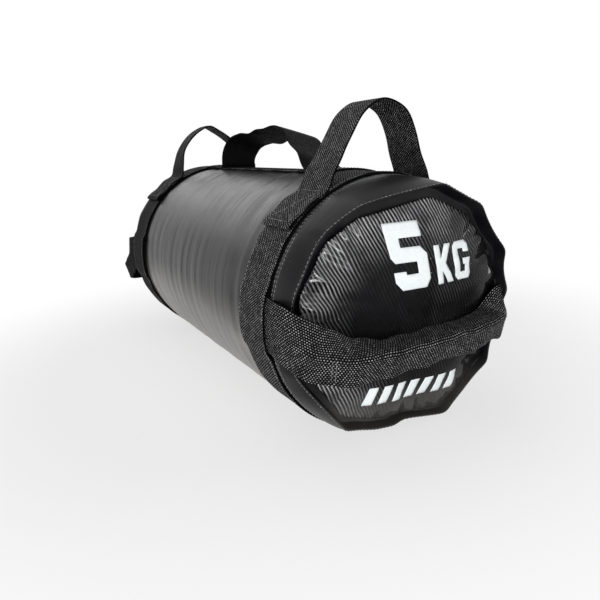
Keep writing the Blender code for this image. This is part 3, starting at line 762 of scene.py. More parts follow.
# Folds of the near disc, mirrored and turned over on the far one: clock degrees, inward reach
# as a share of the radius, relief in millimetres, width in degrees
FOLD_SHARES = (
    (-88, 0.50, -2.6, 4.5), (-80, 0.46, 2.2, 4.0), (-70, 0.48, -2.4, 4.5), (-61, 0.40, 2.0, 4.0),
    (-51, 0.36, -1.8, 4.0), (-38, 0.30, 1.3, 3.5), (-22, 0.26, -1.2, 3.5), (-6, 0.22, 1.0, 3.0),
    (44, 0.28, -1.4, 4.0), (56, 0.40, 1.9, 4.0), (66, 0.44, -2.2, 4.5), (77, 0.40, 1.8, 4.0),
    (92, 0.36, -1.8, 4.5), (118, 0.42, 1.8, 5.0), (131, 0.50, -2.4, 5.0), (146, 0.40, 1.7, 4.5),
    (168, 0.34, -1.6, 5.0), (-172, 0.40, 1.8, 4.5), (-150, 0.50, -2.4, 5.0), (-128, 0.46, 2.0, 5.0),
    (-112, 0.38, -1.8, 4.5),
)
CLOTH_FRAMES = 16
CLOTH_CAP = 5.0 * MM
CLOTH_SETTINGS = {
    "quality": 6, "mass": 0.3, "tension_stiffness": 30.0, "compression_stiffness": 30.0,
    "shear_stiffness": 10.0, "bending_stiffness": 0.6, "vertex_group_mass": "seam", "shrink_min": -0.006,
    "use_pressure": True, "uniform_pressure_force": 4.0,
}


def seam_radius(end, clock):
    """Radius of the seam between the disc and the hem's inner edge."""
    return rim_radius(end, clock) - hem_drop(end, clock) - SKIN_THICKNESS - SEAM_TUCK


def disc_surface(end, y, z):
    """Outward place of the disc: leaning like its rim, domed, puckered towards the seam."""
    clock = np.arctan2(y, z)
    share = np.hypot(y, z) / seam_radius(end, clock)
    plane = HALF_LENGTH - HEM_DEPTH + end_lean(end, y, z) - hem_tilt(end, y, z)
    dome = DISC_BULGE * (1.0 - np.clip(share, 0.0, 1.0) ** DISC_BULGE_POWER)
    folds = np.zeros_like(plane)
    for degrees, reach, relief, width in FOLD_SHARES:
        away = wrapped(clock - math.radians(degrees * end.facing)) / math.radians(width)
        grip = smoothstep((share - (1.0 - reach)) / reach)
        fade = 1.0 - 0.55 * smoothstep((share - 0.86) / 0.14)
        folds += relief * end.facing * MM * FOLD_GAIN * np.exp(-away ** 2) * grip * fade
    rng = np.random.RandomState(end.seed + 1)
    phase = PUCKER_COUNT * clock + 2.2 * round_noise(rng, clock, 5, (2, 7))
    strength = 0.55 + 0.45 * round_noise(rng, clock, 5, (2, 9))
    folds += PUCKER_RELIEF * strength * np.sin(phase) * smoothstep((share - 0.80) / 0.16)
    return plane + dome + folds


def inflate(piece, pinned):
    """Let the fabric relax under the filling's pressure, held at its seam."""
    group = piece.vertex_groups.new(name="seam")
    group.add(pinned, 1.0, "REPLACE")
    cloth = piece.modifiers.new("filled_fabric", "CLOTH")
    for name, value in CLOTH_SETTINGS.items():
        setattr(cloth.settings, name, value)
    cloth.settings.effector_weights.gravity = 0.0
    cloth.collision_settings.use_collision = False
    scene = bpy.context.scene
    before = np.array([vertex.co for vertex in piece.data.vertices])
    for number in range(1, CLOTH_FRAMES + 1):
        scene.frame_set(number)
    evaluated = piece.evaluated_get(bpy.context.evaluated_depsgraph_get())
    after = np.array([vertex.co for vertex in evaluated.data.vertices])
    piece.modifiers.remove(cloth)
    piece.vertex_groups.remove(group)
    scene.frame_set(1)
    move = after - before
    size = np.linalg.norm(move, axis=1, keepdims=True)
    move *= np.minimum(1.0, CLOTH_CAP / np.maximum(size, CLEARANCE))
    piece.data.vertices.foreach_set("co", (before + move).ravel())
    piece.data.update()


def disc_grid():
    """A square grid drawn out to a disc: each point's clock angle and share of the radius."""
    side = np.linspace(-1.0, 1.0, DISC_CELLS + 1)
    a, b = np.meshgrid(side, side, indexing="ij")
    safe_a, safe_b = np.where(a == 0, 1.0, a), np.where(b == 0, 1.0, b)
    turn = np.where(np.abs(a) >= np.abs(b), math.pi / 4 * b / safe_a + np.where(a < 0, math.pi, 0.0),
                    math.pi / 2 * np.sign(b) - math.pi / 4 * a / safe_b)
    return wrapped(turn), np.maximum(np.abs(a), np.abs(b))


def build_disc(end):
    """Bulged end disc, gathered into its seam."""
    clock, share = disc_grid()
    radius = share * seam_radius(end, clock)
    y, z = radius * np.sin(clock), radius * np.cos(clock)
    x = disc_surface(end, y, z)
    points = lifted(pressed(np.stack([end.facing * x, y, z], axis=-1)))
    place = np.stack([y, z, 0.0 * z], axis=-1)
    count = DISC_CELLS + 1
    disc = add_piece(end.label + "_disc", points, grid_faces(count, count), DISC_VINYL, place,
                     replaces=(end.label + "_end_disc",))
    edge = np.flatnonzero((share > 1.0 - 0.5 / DISC_CELLS).ravel())
    inflate(disc, edge.tolist())
    smooth = disc.modifiers.new("soft_surface", "SUBSURF")
    smooth.levels = 1
    smooth.render_levels = 1
    thicken(disc, DISC_THICKNESS)
    return disc


# Webbing
FOLD_SPREAD = 7.0 * MM
STRAP_SAMPLES = 101
STRAP_COLUMNS = 25
EDGE_STEPS = 4
CUT_END_RUN = 12.0 * MM


class Strap:
    """A run of webbing: its centreline with side and outward directions, curved across."""

    def __init__(self, stations, width=WEBBING_WIDTH, thickness=WEBBING_THICKNESS):
        self.centre = np.array([station.centre for station in stations], float)
        self.across = np.array([station.across for station in stations], float)
        self.out = np.array([station.out for station in stations], float)
        self.lengths = run_lengths(self.centre)
        self.width = width
        self.thickness = thickness
        self.side = np.linspace(-width / 2, width / 2, STRAP_SAMPLES)
        bend = np.array([station.bend for station in stations])
        fold = np.array([station.fold for station in stations])
        self.turn = bend[:, None] * self.side + fold[:, None] * smoothstep(0.5 + self.side / FOLD_SPREAD)
        self.flat_x, self.flat_y = (self.summed(wave) for wave in (np.cos(self.turn), -np.sin(self.turn)))

    def summed(self, wave):
        """Running sum across each station, 0 in its middle."""
        step = self.side[1] - self.side[0]
        run = np.cumsum((wave[:, 1:] + wave[:, :-1]) / 2 * step, axis=1)
        run = np.concatenate([np.zeros((len(run), 1)), run], axis=1)
        middle = len(self.side) // 2
        return run - run[:, middle:middle + 1]

    def station_points(self, index, side, lift):
        """Points of one station at places across and heights off the middle."""
        turn = np.interp(side, self.side, self.turn[index])
        x = np.interp(side, self.side, self.flat_x[index]) + np.sin(turn) * lift
        y = np.interp(side, self.side, self.flat_y[index]) + np.cos(turn) * lift
        return self.centre[index] + self.across[index] * x[..., None] + self.out[index] * y[..., None]

    def rows(self, side, lift):
        """Points of every station at the given places across and heights off the middle."""
        return np.array([self.station_points(index, side, lift) for index in range(len(self.centre))])

    def at(self, along, side, lift):
        """Points at distances along, places across and heights off the middle."""
        along, side, lift = np.broadcast_arrays(along, side, lift)
        spot = np.interp(along, self.lengths, np.arange(len(self.lengths)))
        low = np.clip(np.floor(spot).astype(int), 0, len(self.lengths) - 2)
        found = []
        for place, first, across, height in zip(spot, low, side, lift):
            before, after = (self.station_points(index, across, height) for index in (first, first + 1))
            found.append(before + (after - before) * (place - first))
        return np.array(found)


def strap_ring(width, thickness):
    """Outline of webbing's section as places across and heights: flat faces, round edges."""
    half = thickness / 2
    reach = width / 2 - half
    side = np.linspace(-reach, reach, STRAP_COLUMNS)
    edge = np.linspace(0.0, math.pi, EDGE_STEPS + 2)[1:-1]
    across = np.concatenate([side, reach + half * np.sin(edge), side[::-1], -reach - half * np.sin(edge)])
    lift = np.concatenate([np.full(STRAP_COLUMNS, half), half * np.cos(edge),
                           np.full(STRAP_COLUMNS, -half), -half * np.cos(edge)])
    return across, lift


def build_strap(name, strap, seed, replaces, body="bag", waviness=0.5 * MM, material=LIT_WEBBING):
    """Mesh of a run of webbing, with slightly wandering edges and uneven face."""
    rng = np.random.RandomState(seed)
    across, lift = strap_ring(strap.width, strap.thickness)
    along = strap.lengths[:, None]
    points = strap.rows(across, lift)
    sway = soft_noise(rng, 0.0, along, 7, (0, 0), (60.0, 260.0))
    cup = soft_noise(rng, 0.0, along, 5, (0, 0), (50.0, 200.0)) * (across / strap.width * 2) ** 2
    ends = smoothstep(along / CUT_END_RUN) * smoothstep((along[-1] - along) / CUT_END_RUN)
    points += (strap.across[:, None, :] * (sway * waviness * 0.6 * ends)[..., None]
               + strap.out[:, None, :] * (cup * waviness * ends)[..., None])
    place = np.stack([np.broadcast_to(across, points.shape[:2]),
                      np.broadcast_to(along, points.shape[:2]), np.zeros(points.shape[:2])], axis=-1)
    rows, columns = points.shape[:2]
    faces = grid_faces(rows, columns, wrap_columns=True)
    faces += [tuple(range(columns)), tuple(range((rows - 1) * columns, rows * columns))]
    return add_piece(name, lifted(points), faces, material, place, body=body,
                     replaces=replaces)


Station = namedtuple("Station", "centre across out bend fold")
ROUTE_STEPS = 12
STATION_SPACING = 2.4 * MM
DENSE_SPACING = 0.45 * MM
DIRECTION_RUN = 0.9 * MM


def route_curve(points):
    """Dense points on a smooth curve through the given ones (centripetal Catmull-Rom)."""
    ends = [points[0] * 2 - points[1]] + list(points) + [points[-1] * 2 - points[-2]]
    curve = []
    for before, start, stop, after in zip(ends, ends[1:], ends[2:], ends[3:]):
        knots = [0.0]
        for first, second in ((before, start), (start, stop), (stop, after)):
            knots.append(knots[-1] + math.sqrt((second - first).length))
        for step in range(ROUTE_STEPS):
            t = knots[1] + (knots[2] - knots[1]) * step / ROUTE_STEPS
            a1 = before.lerp(start, (t - knots[0]) / (knots[1] - knots[0]))
            a2 = start.lerp(stop, (t - knots[1]) / (knots[2] - knots[1]))
            a3 = stop.lerp(after, (t - knots[2]) / (knots[3] - knots[2]))
            b1 = a1.lerp(a2, (t - knots[0]) / (knots[2] - knots[0]))
            b2 = a2.lerp(a3, (t - knots[1]) / (knots[3] - knots[1]))
            curve.append(b1.lerp(b2, (t - knots[1]) / (knots[2] - knots[1])))
    return np.array(curve + [points[-1]])


def run_lengths(curve):
    """Distance from the curve's start to each of its points."""
    return np.concatenate([[0.0], np.cumsum(np.linalg.norm(np.diff(curve, axis=0), axis=1))])


def none_along(distance, total):
    """No bend or fold anywhere along a strap."""
    return 0.0


def lay_strap(curve, across, bend=none_along, lean=None, fold=none_along, dense=()):
    """Strap along a curve; dense lists (start, stop) runs that turn sharply."""
    lengths = run_lengths(curve)
    total = lengths[-1]
    marks = [np.linspace(0.0, total, int(total / STATION_SPACING) + 1)]
    for start, stop in dense:
        marks.append(np.arange(max(start, 0.0), min(stop, total), DENSE_SPACING))
    marks = np.unique(np.concatenate(marks).round(6))
    marks = marks[np.concatenate([[True], np.diff(marks) > DENSE_SPACING / 3])]

    def spot(distance):
        return Vector([np.interp(distance, lengths, curve[:, axis]) for axis in range(3)])

    stations = []
    for distance in marks:
        centre = spot(distance)
        ahead, behind = min(distance + DIRECTION_RUN, total), max(distance - DIRECTION_RUN, 0.0)
        forward = (spot(ahead) - spot(behind)).normalized()
        side = across(centre)
        side = (side - forward * side.dot(forward)).normalized()
        out = side.cross(forward).normalized()
        station = Station(centre, side, out, bend(distance, total), fold(distance, total))
        stations.append(lean(station, distance, total) if lean else station)
    return Strap(stations)


# Stitching
STITCH_LENGTH = 3.0 * MM
STITCH_GAP = 0.9 * MM
STITCH_RADIUS = 0.29 * MM
STITCH_STEPS = 5
STITCH_SIDES = 5
STITCH_TURN = 0.10
EDGE_STITCH_INSET = 2.6 * MM
BOX_INSET = 4.0 * MM
BOX_HALF_SIDE = 19.0 * MM


def stitch_template():
    """One stitch about the origin: along X, proud along Z, its ends sunk in the cloth."""
    points = []
    for t in np.linspace(0.0, 1.0, STITCH_STEPS):
        swell = math.sin(math.pi * (0.08 + 0.84 * t))
        radius = STITCH_RADIUS * (0.35 + 0.65 * swell)
        for side in range(STITCH_SIDES):
            angle = math.tau * side / STITCH_SIDES
            points.append(((t - 0.5) * STITCH_LENGTH, radius * math.sin(angle),
                           STITCH_RADIUS * (1.3 * swell - 0.75) + radius * math.cos(angle)))
    faces = grid_faces(STITCH_STEPS, STITCH_SIDES, wrap_columns=True)
    faces += [tuple(range(STITCH_SIDES)), tuple(range((STITCH_STEPS - 1) * STITCH_SIDES, len(points)))]
    return np.array(points), faces


def add_stitches(name, runs, seed, body="bag"):
    """Stitches along runs of (points, normals), points being a dense path on the cloth."""
    rng = np.random.RandomState(seed)
    template, template_faces = stitch_template()
    points, faces = [], []
    for path, normals in runs:
        lengths = run_lengths(path)
        pitch = STITCH_LENGTH + STITCH_GAP
        centres = np.arange(pitch / 2, lengths[-1] - STITCH_LENGTH / 2, pitch)
        half = STITCH_LENGTH / 2

        def spot(distance, values=path):
            return np.stack([np.interp(distance, lengths, values[:, axis]) for axis in range(3)], axis=-1)

        middle, tangent = spot(centres), spot(centres + half) - spot(centres - half)
        tangent /= np.linalg.norm(tangent, axis=1, keepdims=True)
        normal = spot(centres, normals)
        side = np.cross(normal, tangent)
        side /= np.linalg.norm(side, axis=1, keepdims=True)
        turn = rng.uniform(-STITCH_TURN, STITCH_TURN, (len(centres), 1))
        tangent, side = tangent + side * turn, side - tangent * turn
        normal = np.cross(tangent, side)
        for index in range(len(centres)):
            offset = len(points) * len(template)
            points.append(middle[index] + template[:, :1] * tangent[index]
                          + template[:, 1:2] * side[index] + template[:, 2:] * normal[index])
            faces += [tuple(offset + corner for corner in face) for face in template_faces]
    return add_piece(name, np.concatenate(points), faces, THREAD, body=body)


def strap_run(strap, start, stop, count=40):
    """Path and normals between two (along, side) places on a strap's outer face."""
    share = np.linspace(0.0, 1.0, count)
    along = start[0] + (stop[0] - start[0]) * share
    side = start[1] + (stop[1] - start[1]) * share
    face = strap.at(along, side, strap.thickness / 2)
    above = strap.at(along, side, strap.thickness / 2 + MM)
    return lifted(face), (above - face) / MM


def edge_runs(strap, count):
    """Runs of stitches along both edges of a strap."""
    edge = strap.width / 2 - EDGE_STITCH_INSET
    return [strap_run(strap, (0.0, side), (strap.lengths[-1], side), count) for side in (-edge, edge)]


def end_boxes(strap, total, start, stop):
    """Runs of a stitched box with a cross in it on each end of a strap, between two distances."""
    runs = []
    for near, far in ((start, stop), (total - start, total - stop)):
        corners = [(near, -BOX_HALF_SIDE), (near, BOX_HALF_SIDE), (far, BOX_HALF_SIDE), (far, -BOX_HALF_SIDE)]
        pairs = list(zip(corners, corners[1:] + corners[:1])) + [corners[::2], corners[1::2]]
        runs += [strap_run(strap, first, second) for first, second in pairs]
    return runs


def past_patch(distance, total, patch_length, run):
    """0 on the sewn patches at a strap's ends, 1 from one run past them."""
    return float(smoothstep((min(distance, total - distance) - patch_length) / run))


def turned(station, pivot, turn):
    """A station turned about a pivot."""
    return station._replace(centre=pivot + turn @ (station.centre - pivot),
                            across=turn @ station.across, out=turn @ station.out)


def straight_strap(clock, radius, half_length, count, **size):
    """Strap along the barrel at a clock angle, curved to it across."""
    up = radial(clock)
    return Strap([Station(up * radius + ALONG * x, crosswise(clock), up, 1.0 / radius, 0.0)
                  for x in np.linspace(-half_length, half_length, count)], **size)


def handle_nodes(name, first, second):
    """CAD nodes of a handle: a sewn patch and a root on each side, and the grip."""
    return [name + "_" + part for part in (first + "_patch", first + "_root", "grip",
                                           second + "_root", second + "_patch")]


# Sides of the handles across the end faces, and where they fold along their middle
LoopSide = namedtuple("LoopSide", "clock fold_start fold_run")
END_HANDLE_CLOCK = math.radians(87.0)
LEVEL_SIDE = LoopSide(END_HANDLE_CLOCK, 46.0 * MM, 60.0 * MM)
EASY_SIDE = LoopSide(END_HANDLE_CLOCK, 6.0 * MM, 138.0 * MM)
LOW_SIDE = LoopSide(math.radians(100.0), 44.0 * MM, 45.0 * MM)
SOON_SIDE = LoopSide(END_HANDLE_CLOCK, 12.0 * MM, 66.0 * MM)

# Bands
BAND_STATIONS = 300
BAND_JOIN_CLOCK = math.radians(176.0)
CLOCK_STEP = 0.01
SEWN_IN_RAMP = 9.0 * MM


def sewn_in_lift(end, clock):
    """How far a band stands off where an end of the end handle is sewn in under it."""
    reach = (WEBBING_WIDTH / 2 + MM) / PATCH_RADIUS
    ramp = SEWN_IN_RAMP / PATCH_RADIUS
    left, right = end.sides
    away = np.minimum(np.abs(wrapped(clock + left.clock)), np.abs(wrapped(clock - right.clock)))
    return (WEBBING_THICKNESS + CLEARANCE) * smoothstep((reach + ramp - away) / ramp)


def build_band(end):
    """Webbing right round the barrel; its ends meet on the underside."""
    clocks = np.linspace(BAND_JOIN_CLOCK - math.tau, BAND_JOIN_CLOCK, BAND_STATIONS)

    def ring(clock):
        """Middle of the webbing at clock angles."""
        radius = BAND_OUTER_RADIUS - WEBBING_THICKNESS / 2 + sewn_in_lift(end, clock)
        return pressed(round_axis(end.facing * BAND_MIDDLE, clock, radius))

    stations = []
    for centre, after in zip(ring(clocks), ring(clocks + CLOCK_STEP)):
        forward = Vector(after - centre).normalized()
        stations.append(Station(Vector(centre), ALONG, ALONG.cross(forward).normalized(), 0.0, 0.0))
    strap = Strap(stations)
    name = end.label + "_band"
    build_strap(name + "_webbing", strap, end.seed + 2, (name,), waviness=0.35 * MM, material=end.webbing)
    add_stitches(name + "_stitches", edge_runs(strap, BAND_STATIONS), end.seed + 3)


# Stitches of the strip beside the band, and of the hem: on the row of the section just inside
# the fold, tilted outwards
STRIP_STITCH_OFFSETS = (3.4 * MM, 6.8 * MM)
RISING_ROWS = 8
LIP_ROW = 6
LIP_STITCH_TILT = 0.35


def strip_rows(end, offsets):
    """Runs of stitches on the vinyl beside the band, at distances from the band's edge."""
    clock = round_clock(RIM_COLUMNS, closed=True)
    section = smooth_run(strip_section(end, clock), RIM_STEPS)
    rising = section[:RISING_ROWS * RIM_STEPS]
    runs = []
    for offset in offsets:
        x = BAND_FRONT_EDGE + offset
        radius = np.array([np.interp(x, rising[:, index, 0], rising[:, index, 1])
                           for index in range(len(clock))])
        points = facing(end, pressed(round_axis(x, clock, radius)))
        runs.append((lifted(points), round_axis(0.0, clock, 1.0)))
    return runs


def lip_run(end):
    """Run of stitches that closes the hem, just inside the fold."""
    clock = round_clock(RIM_COLUMNS, closed=True)
    lip = strip_section(end, clock)[LIP_ROW]
    points = facing(end, pressed(round_axis(lip[:, 0], clock, lip[:, 1])))
    return lifted(points), facing(end, round_axis(LIP_STITCH_TILT, clock, 1.0))


# Handles on the bands
BAND_HANDLE_CLOCK = math.radians(2.5)
BAND_HANDLE_BASE_ANGLE = math.radians(27.5)
BAND_HANDLE_PATCH_LENGTH = 49.0 * MM
BAND_HANDLE_RISE = 73.5 * MM
FRONT_ARCH_SHARES = (
    (-0.82, 0.25), (-0.56, 0.57), (-0.29, 0.88), (-0.05, 1.01), (0.21, 1.00),
    (0.41, 0.925), (0.59, 0.70), (0.73, 0.41), (0.89, 0.16),
)
REAR_ARCH_SHARES = (
    (-0.94, 0.20), (-0.80, 0.50), (-0.59, 0.74), (-0.33, 0.90), (-0.12, 0.96),
    (0.13, 0.85), (0.48, 0.66), (0.82, 0.44), (1.00, 0.20),
)
TUCK_LENGTH = 9.0 * MM
TUCK_RISE = WEBBING_THICKNESS + 0.1 * MM
TUCK_CLEAR_SHARE = 1.35
CURLED_SHARE = 2.2


def build_band_handle(end):
    """Arch of webbing that stands on a band; its ends are folded under and sewn down."""
    name = end.label + "_handle"
    middle_x = end.facing * BAND_MIDDLE
    patch_angle = BAND_HANDLE_PATCH_LENGTH / PATCH_RADIUS
    tuck_angle = TUCK_LENGTH / PATCH_RADIUS
    half_span = PATCH_RADIUS * math.sin(BAND_HANDLE_BASE_ANGLE)
    base_height = PATCH_RADIUS * math.cos(BAND_HANDLE_BASE_ANGLE)
    far_angle = BAND_HANDLE_BASE_ANGLE + patch_angle
    turn_radius = TUCK_RISE / 2

    def on_band(angle, lift=0.0):
        return radial(angle) * (PATCH_RADIUS + lift) + Vector((middle_x, 0.0, 0.0))

    def sewn_end(sign):
        """From the tucked cut end, round the fold and up to the foot of the arch."""
        bulge = turn_radius / PATCH_RADIUS
        tucked = [on_band(sign * (far_angle - tuck_angle * share)) for share in (1.0, 0.6, 0.2)]
        fold = [on_band(sign * far_angle, 0.15 * TUCK_RISE),
                on_band(sign * (far_angle + bulge), TUCK_RISE / 2),
                on_band(sign * far_angle, 0.9 * TUCK_RISE)]
        over = [on_band(sign * (far_angle - tuck_angle * share), TUCK_RISE) for share in (0.3, 0.8)]
        flat = [on_band(sign * (far_angle - tuck_angle * share)) for share in (1.9, 2.8, 3.7)]
        return tucked + fold + over + flat + [on_band(sign * BAND_HANDLE_BASE_ANGLE)]

    arch = [Vector((middle_x, share_y * half_span, base_height + share_z * BAND_HANDLE_RISE))
            for share_y, share_z in end.arch]
    clocked = Matrix.Rotation(-BAND_HANDLE_CLOCK, 3, "X")
    points = [clocked @ point for point in sewn_end(-1) + arch + sewn_end(1)[::-1]]
    curve = route_curve(points)
    lengths = run_lengths(curve)
    foot = lengths[(len(sewn_end(-1)) - 1) * ROUTE_STEPS]
    middle = Vector((middle_x, 0.0, 0.0))

    def twist(station, distance, total):
        yaw = end.skew * past_patch(distance, total, foot, end.skew_run)
        return turned(station, middle, Matrix.Rotation(yaw, 3, "Z"))

    total = lengths[-1]
    curled = TUCK_LENGTH * CURLED_SHARE
    strap = lay_strap(curve, lambda centre: ALONG, lean=twist,
                      dense=((0.0, curled), (total - curled, total)))
    piece = build_strap(name + "_strap", strap, end.seed + 5, handle_nodes(name, "left", "right"), body=None,
                        material=end.webbing)
    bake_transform(piece)
    boxes = end_boxes(strap, total, TUCK_LENGTH * TUCK_CLEAR_SHARE + BOX_INSET, foot - BOX_INSET)
    add_stitches(name + "_stitches", boxes, end.seed + 6)


# Handle between the bands
CENTRE_HANDLE_CLOCK = math.radians(5.0)
CENTRE_HANDLE_SPAN = 230.0 * MM
CENTRE_HANDLE_RISE = 42.4 * MM
CENTRE_HANDLE_LEAN = math.radians(12.0)
CENTRE_HANDLE_ROOT_LENGTH = 26.0 * MM
CENTRE_HANDLE_HINGE_HEIGHT = 9.0 * MM
SPINE_STATIONS = 110
CENTRE_ARCH_SHARES = (
    (-0.955, 0.25), (-0.945, 0.50), (-0.90, 0.70), (-0.78, 0.80), (-0.58, 0.83), (-0.26, 0.88),
    (0.00, 0.94), (0.22, 0.99), (0.40, 0.91), (0.53, 0.71), (0.68, 0.46), (0.85, 0.22),
)


def build_centre_handle():
    """Lengthwise arch between the bands, with the strap that it is sewn to."""
    name = "centre_handle"
    half_span = CENTRE_HANDLE_SPAN / 2
    up = radial(CENTRE_HANDLE_CLOCK)
    patch_end = BAND_REAR_EDGE - CLEARANCE
    base = up * PATCH_RADIUS
    samples = 3
    rear = [base - ALONG * (patch_end + (half_span - patch_end) * index / samples)
            for index in range(samples + 1)]
    front = [base + ALONG * (half_span + (patch_end - half_span) * index / samples)
             for index in range(samples + 1)]
    arch = [base + ALONG * share_x * half_span + up * share_z * CENTRE_HANDLE_RISE
            for share_x, share_z in CENTRE_ARCH_SHARES]
    hinge = up * (PATCH_RADIUS + CENTRE_HANDLE_HINGE_HEIGHT)
    patch_length = patch_end - half_span

    def risen(distance, total):
        return past_patch(distance, total, patch_length, CENTRE_HANDLE_ROOT_LENGTH)

    def bend(distance, total):
        return (1.0 - risen(distance, total)) / PATCH_RADIUS

    def lean(station, distance, total):
        return turned(station, hinge, Matrix.Rotation(-CENTRE_HANDLE_LEAN * risen(distance, total), 3, "X"))

    strap = lay_strap(route_curve(rear + arch + front), lambda centre: crosswise(CENTRE_HANDLE_CLOCK),
                      bend=bend, lean=lean)
    piece = build_strap(name + "_strap", strap, 51, handle_nodes(name, "rear", "front"), body=None,
                        material=SHADED_WEBBING)
    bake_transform(piece)
    boxes = end_boxes(strap, strap.lengths[-1], BOX_INSET, patch_length - BOX_INSET)
    add_stitches(name + "_stitches", boxes, 52)
    spine = straight_strap(CENTRE_HANDLE_CLOCK, BARREL_RADIUS + CLEARANCE + WEBBING_THICKNESS / 2, patch_end,
                           SPINE_STATIONS)
    build_strap("spine_webbing", spine, 53, ("spine_strap",), waviness=0.3 * MM, material=SHADED_WEBBING)
    add_stitches("spine_stitches", edge_runs(spine, SPINE_STATIONS), 54)


# Handles across the end faces
END_HANDLE_FOLD = math.radians(108.0)
END_HANDLE_ROLL = math.radians(22.0)
END_HANDLE_ROOT_LENGTH = 46.0 * MM
END_HANDLE_INSET = 2.0 * MM
END_HANDLE_TACKS = (74.0 * MM, 77.0 * MM)
FRONT_LOOP_SHARES = (
    (0.21, 0.975), (0.425, 0.945), (0.61, 0.895), (0.77, 0.805), (0.895, 0.66),
    (0.965, 0.44), (0.99, 0.21), (1.00, 0.0),
)
REAR_LOOP_SHARES = (
    (0.21, 1.005), (0.425, 1.02), (0.61, 1.030), (0.78, 1.010), (0.90, 0.90),
    (0.965, 0.65), (0.99, 0.32), (1.00, 0.0),
)
HANDLE_REACH_MIDDLE = HALF_LENGTH + 46.0 * MM


def build_end_handle(end):
    """Strap across an end face, sewn in under the band's sides, folded along its grip."""
    name = end.label + "_end_handle"
    sewn_radius = BAND_OUTER_RADIUS - WEBBING_THICKNESS / 2
    reach_out = HANDLE_REACH_MIDDLE - BAND_FRONT_EDGE
    patch_length = WEBBING_WIDTH - END_HANDLE_INSET
    half_width = PATCH_RADIUS * math.sin(END_HANDLE_CLOCK)
    middle_height = PATCH_RADIUS * math.cos(END_HANDLE_CLOCK) - end.sag
    samples = 3

    def half_route(outward, clock):
        patch_height = sewn_radius * math.cos(clock)
        patch_side = sewn_radius * math.sin(clock)

        def place(x, side):
            share = float(smoothstep((x - BAND_FRONT_EDGE) / reach_out))
            height = patch_height + (middle_height - patch_height) * share
            return Vector((end.facing * x, outward * side, height))

        patch = [place(BAND_FRONT_EDGE - patch_length * (1.0 - index / samples), patch_side)
                 for index in range(samples + 1)]
        return patch + [place(BAND_FRONT_EDGE + share_x * reach_out, share_y * half_width)
                        for share_x, share_y in end.loop]

    left, right = (-1, end.sides[0]), (1, end.sides[1])
    first, second = (right, left) if end.facing > 0 else (left, right)
    points = half_route(first[0], first[1].clock) + half_route(second[0], second[1].clock)[-2::-1]

    def across(centre):
        outward = math.copysign(1.0, centre.y)
        clock = end.sides[int(outward > 0)].clock
        reach = abs(centre.x) - BAND_FRONT_EDGE
        tilt = (math.pi / 2 - clock) * (1.0 - float(smoothstep(reach / reach_out)))
        return Vector((0.0, -outward * math.sin(tilt), math.cos(tilt)))

    def bend(distance, total):
        return (1.0 - past_patch(distance, total, patch_length, END_HANDLE_ROOT_LENGTH)) / PATCH_RADIUS

    def folded(distance, total):
        side = first[1] if distance < total / 2 else second[1]
        return past_patch(distance, total, patch_length + side.fold_start, side.fold_run)

    def fold(distance, total):
        return END_HANDLE_FOLD * folded(distance, total)

    def roll(station, distance, total):
        angle = END_HANDLE_ROLL * folded(distance, total)
        return station._replace(
            across=station.across * math.cos(angle) + station.out * math.sin(angle),
            out=station.out * math.cos(angle) - station.across * math.sin(angle))

    strap = lay_strap(route_curve(points), across, bend=bend, lean=roll, fold=fold)
    piece = build_strap(name + "_strap", strap, end.seed + 8, handle_nodes(name, "left", "right"), body=None,
                        waviness=0.8 * MM, material=end.webbing)
    total = strap.lengths[-1]
    runs = [strap_run(strap, (distance, -BOX_HALF_SIDE), (distance, BOX_HALF_SIDE))
            for tack in END_HANDLE_TACKS
            for distance in (patch_length + tack, total - patch_length - tack)]
    stitches = add_stitches(name + "_stitches", runs, end.seed + 9, body=None)
    for moving in (piece, stitches):
        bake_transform(moving)


# Print on the front disc, in metres about the barrel's axis: own plain block shapes
PRINT_THICKNESS = 0.25 * MM
PRINT_SINK = 0.15 * MM
PRINT_GRID = 2.2 * MM
PRINT_SLANT_SHARE = -0.12
INSIDE_ONLY = 1
CUT_TOLERANCE = 1e-6
FIVE_SHARES = (
    (0.00, 1.00), (0.94, 1.00), (0.94, 0.77), (0.33, 0.77), (0.33, 0.63), (0.84, 0.63), (1.00, 0.51),
    (1.00, 0.13), (0.86, 0.00), (0.17, 0.00), (0.01, 0.13), (0.01, 0.28), (0.34, 0.28), (0.34, 0.23),
    (0.68, 0.23), (0.68, 0.41), (0.10, 0.41), (0.00, 0.50),
)
K_SHARES = (
    (0.00, 0.00), (0.32, 0.00), (0.32, 0.34), (0.62, 0.00), (1.00, 0.00), (0.58, 0.51), (0.98, 1.00),
    (0.62, 1.00), (0.32, 0.64), (0.32, 1.00), (0.00, 1.00),
)
G_SHARES = (
    (0.17, 0.00), (0.84, 0.00), (1.00, 0.11), (1.00, 0.55), (0.54, 0.55), (0.54, 0.39), (0.67, 0.39),
    (0.67, 0.20), (0.34, 0.20), (0.34, 0.80), (0.67, 0.80), (0.67, 0.70), (1.00, 0.70), (1.00, 0.89),
    (0.84, 1.00), (0.17, 1.00), (0.00, 0.89), (0.00, 0.11),
)
BAR_SHARES = ((0.0, 0.0), (1.0, 0.0), (1.0, 1.0), (0.0, 1.0))
Mark = namedtuple("Mark", "shares y z width height slant_share")
WEIGHT_MARKS = (
    Mark(FIVE_SHARES, -15.8 * MM, 24.4 * MM, 34.8 * MM, 59.0 * MM, PRINT_SLANT_SHARE),
    Mark(K_SHARES, 26.8 * MM, 24.3 * MM, 19.0 * MM, 35.6 * MM, PRINT_SLANT_SHARE),
    Mark(G_SHARES, 48.0 * MM, 24.3 * MM, 19.2 * MM, 35.6 * MM, PRINT_SLANT_SHARE),
)
BAR_COUNT = 7
BAR_SLANT_SHARE = 0.32
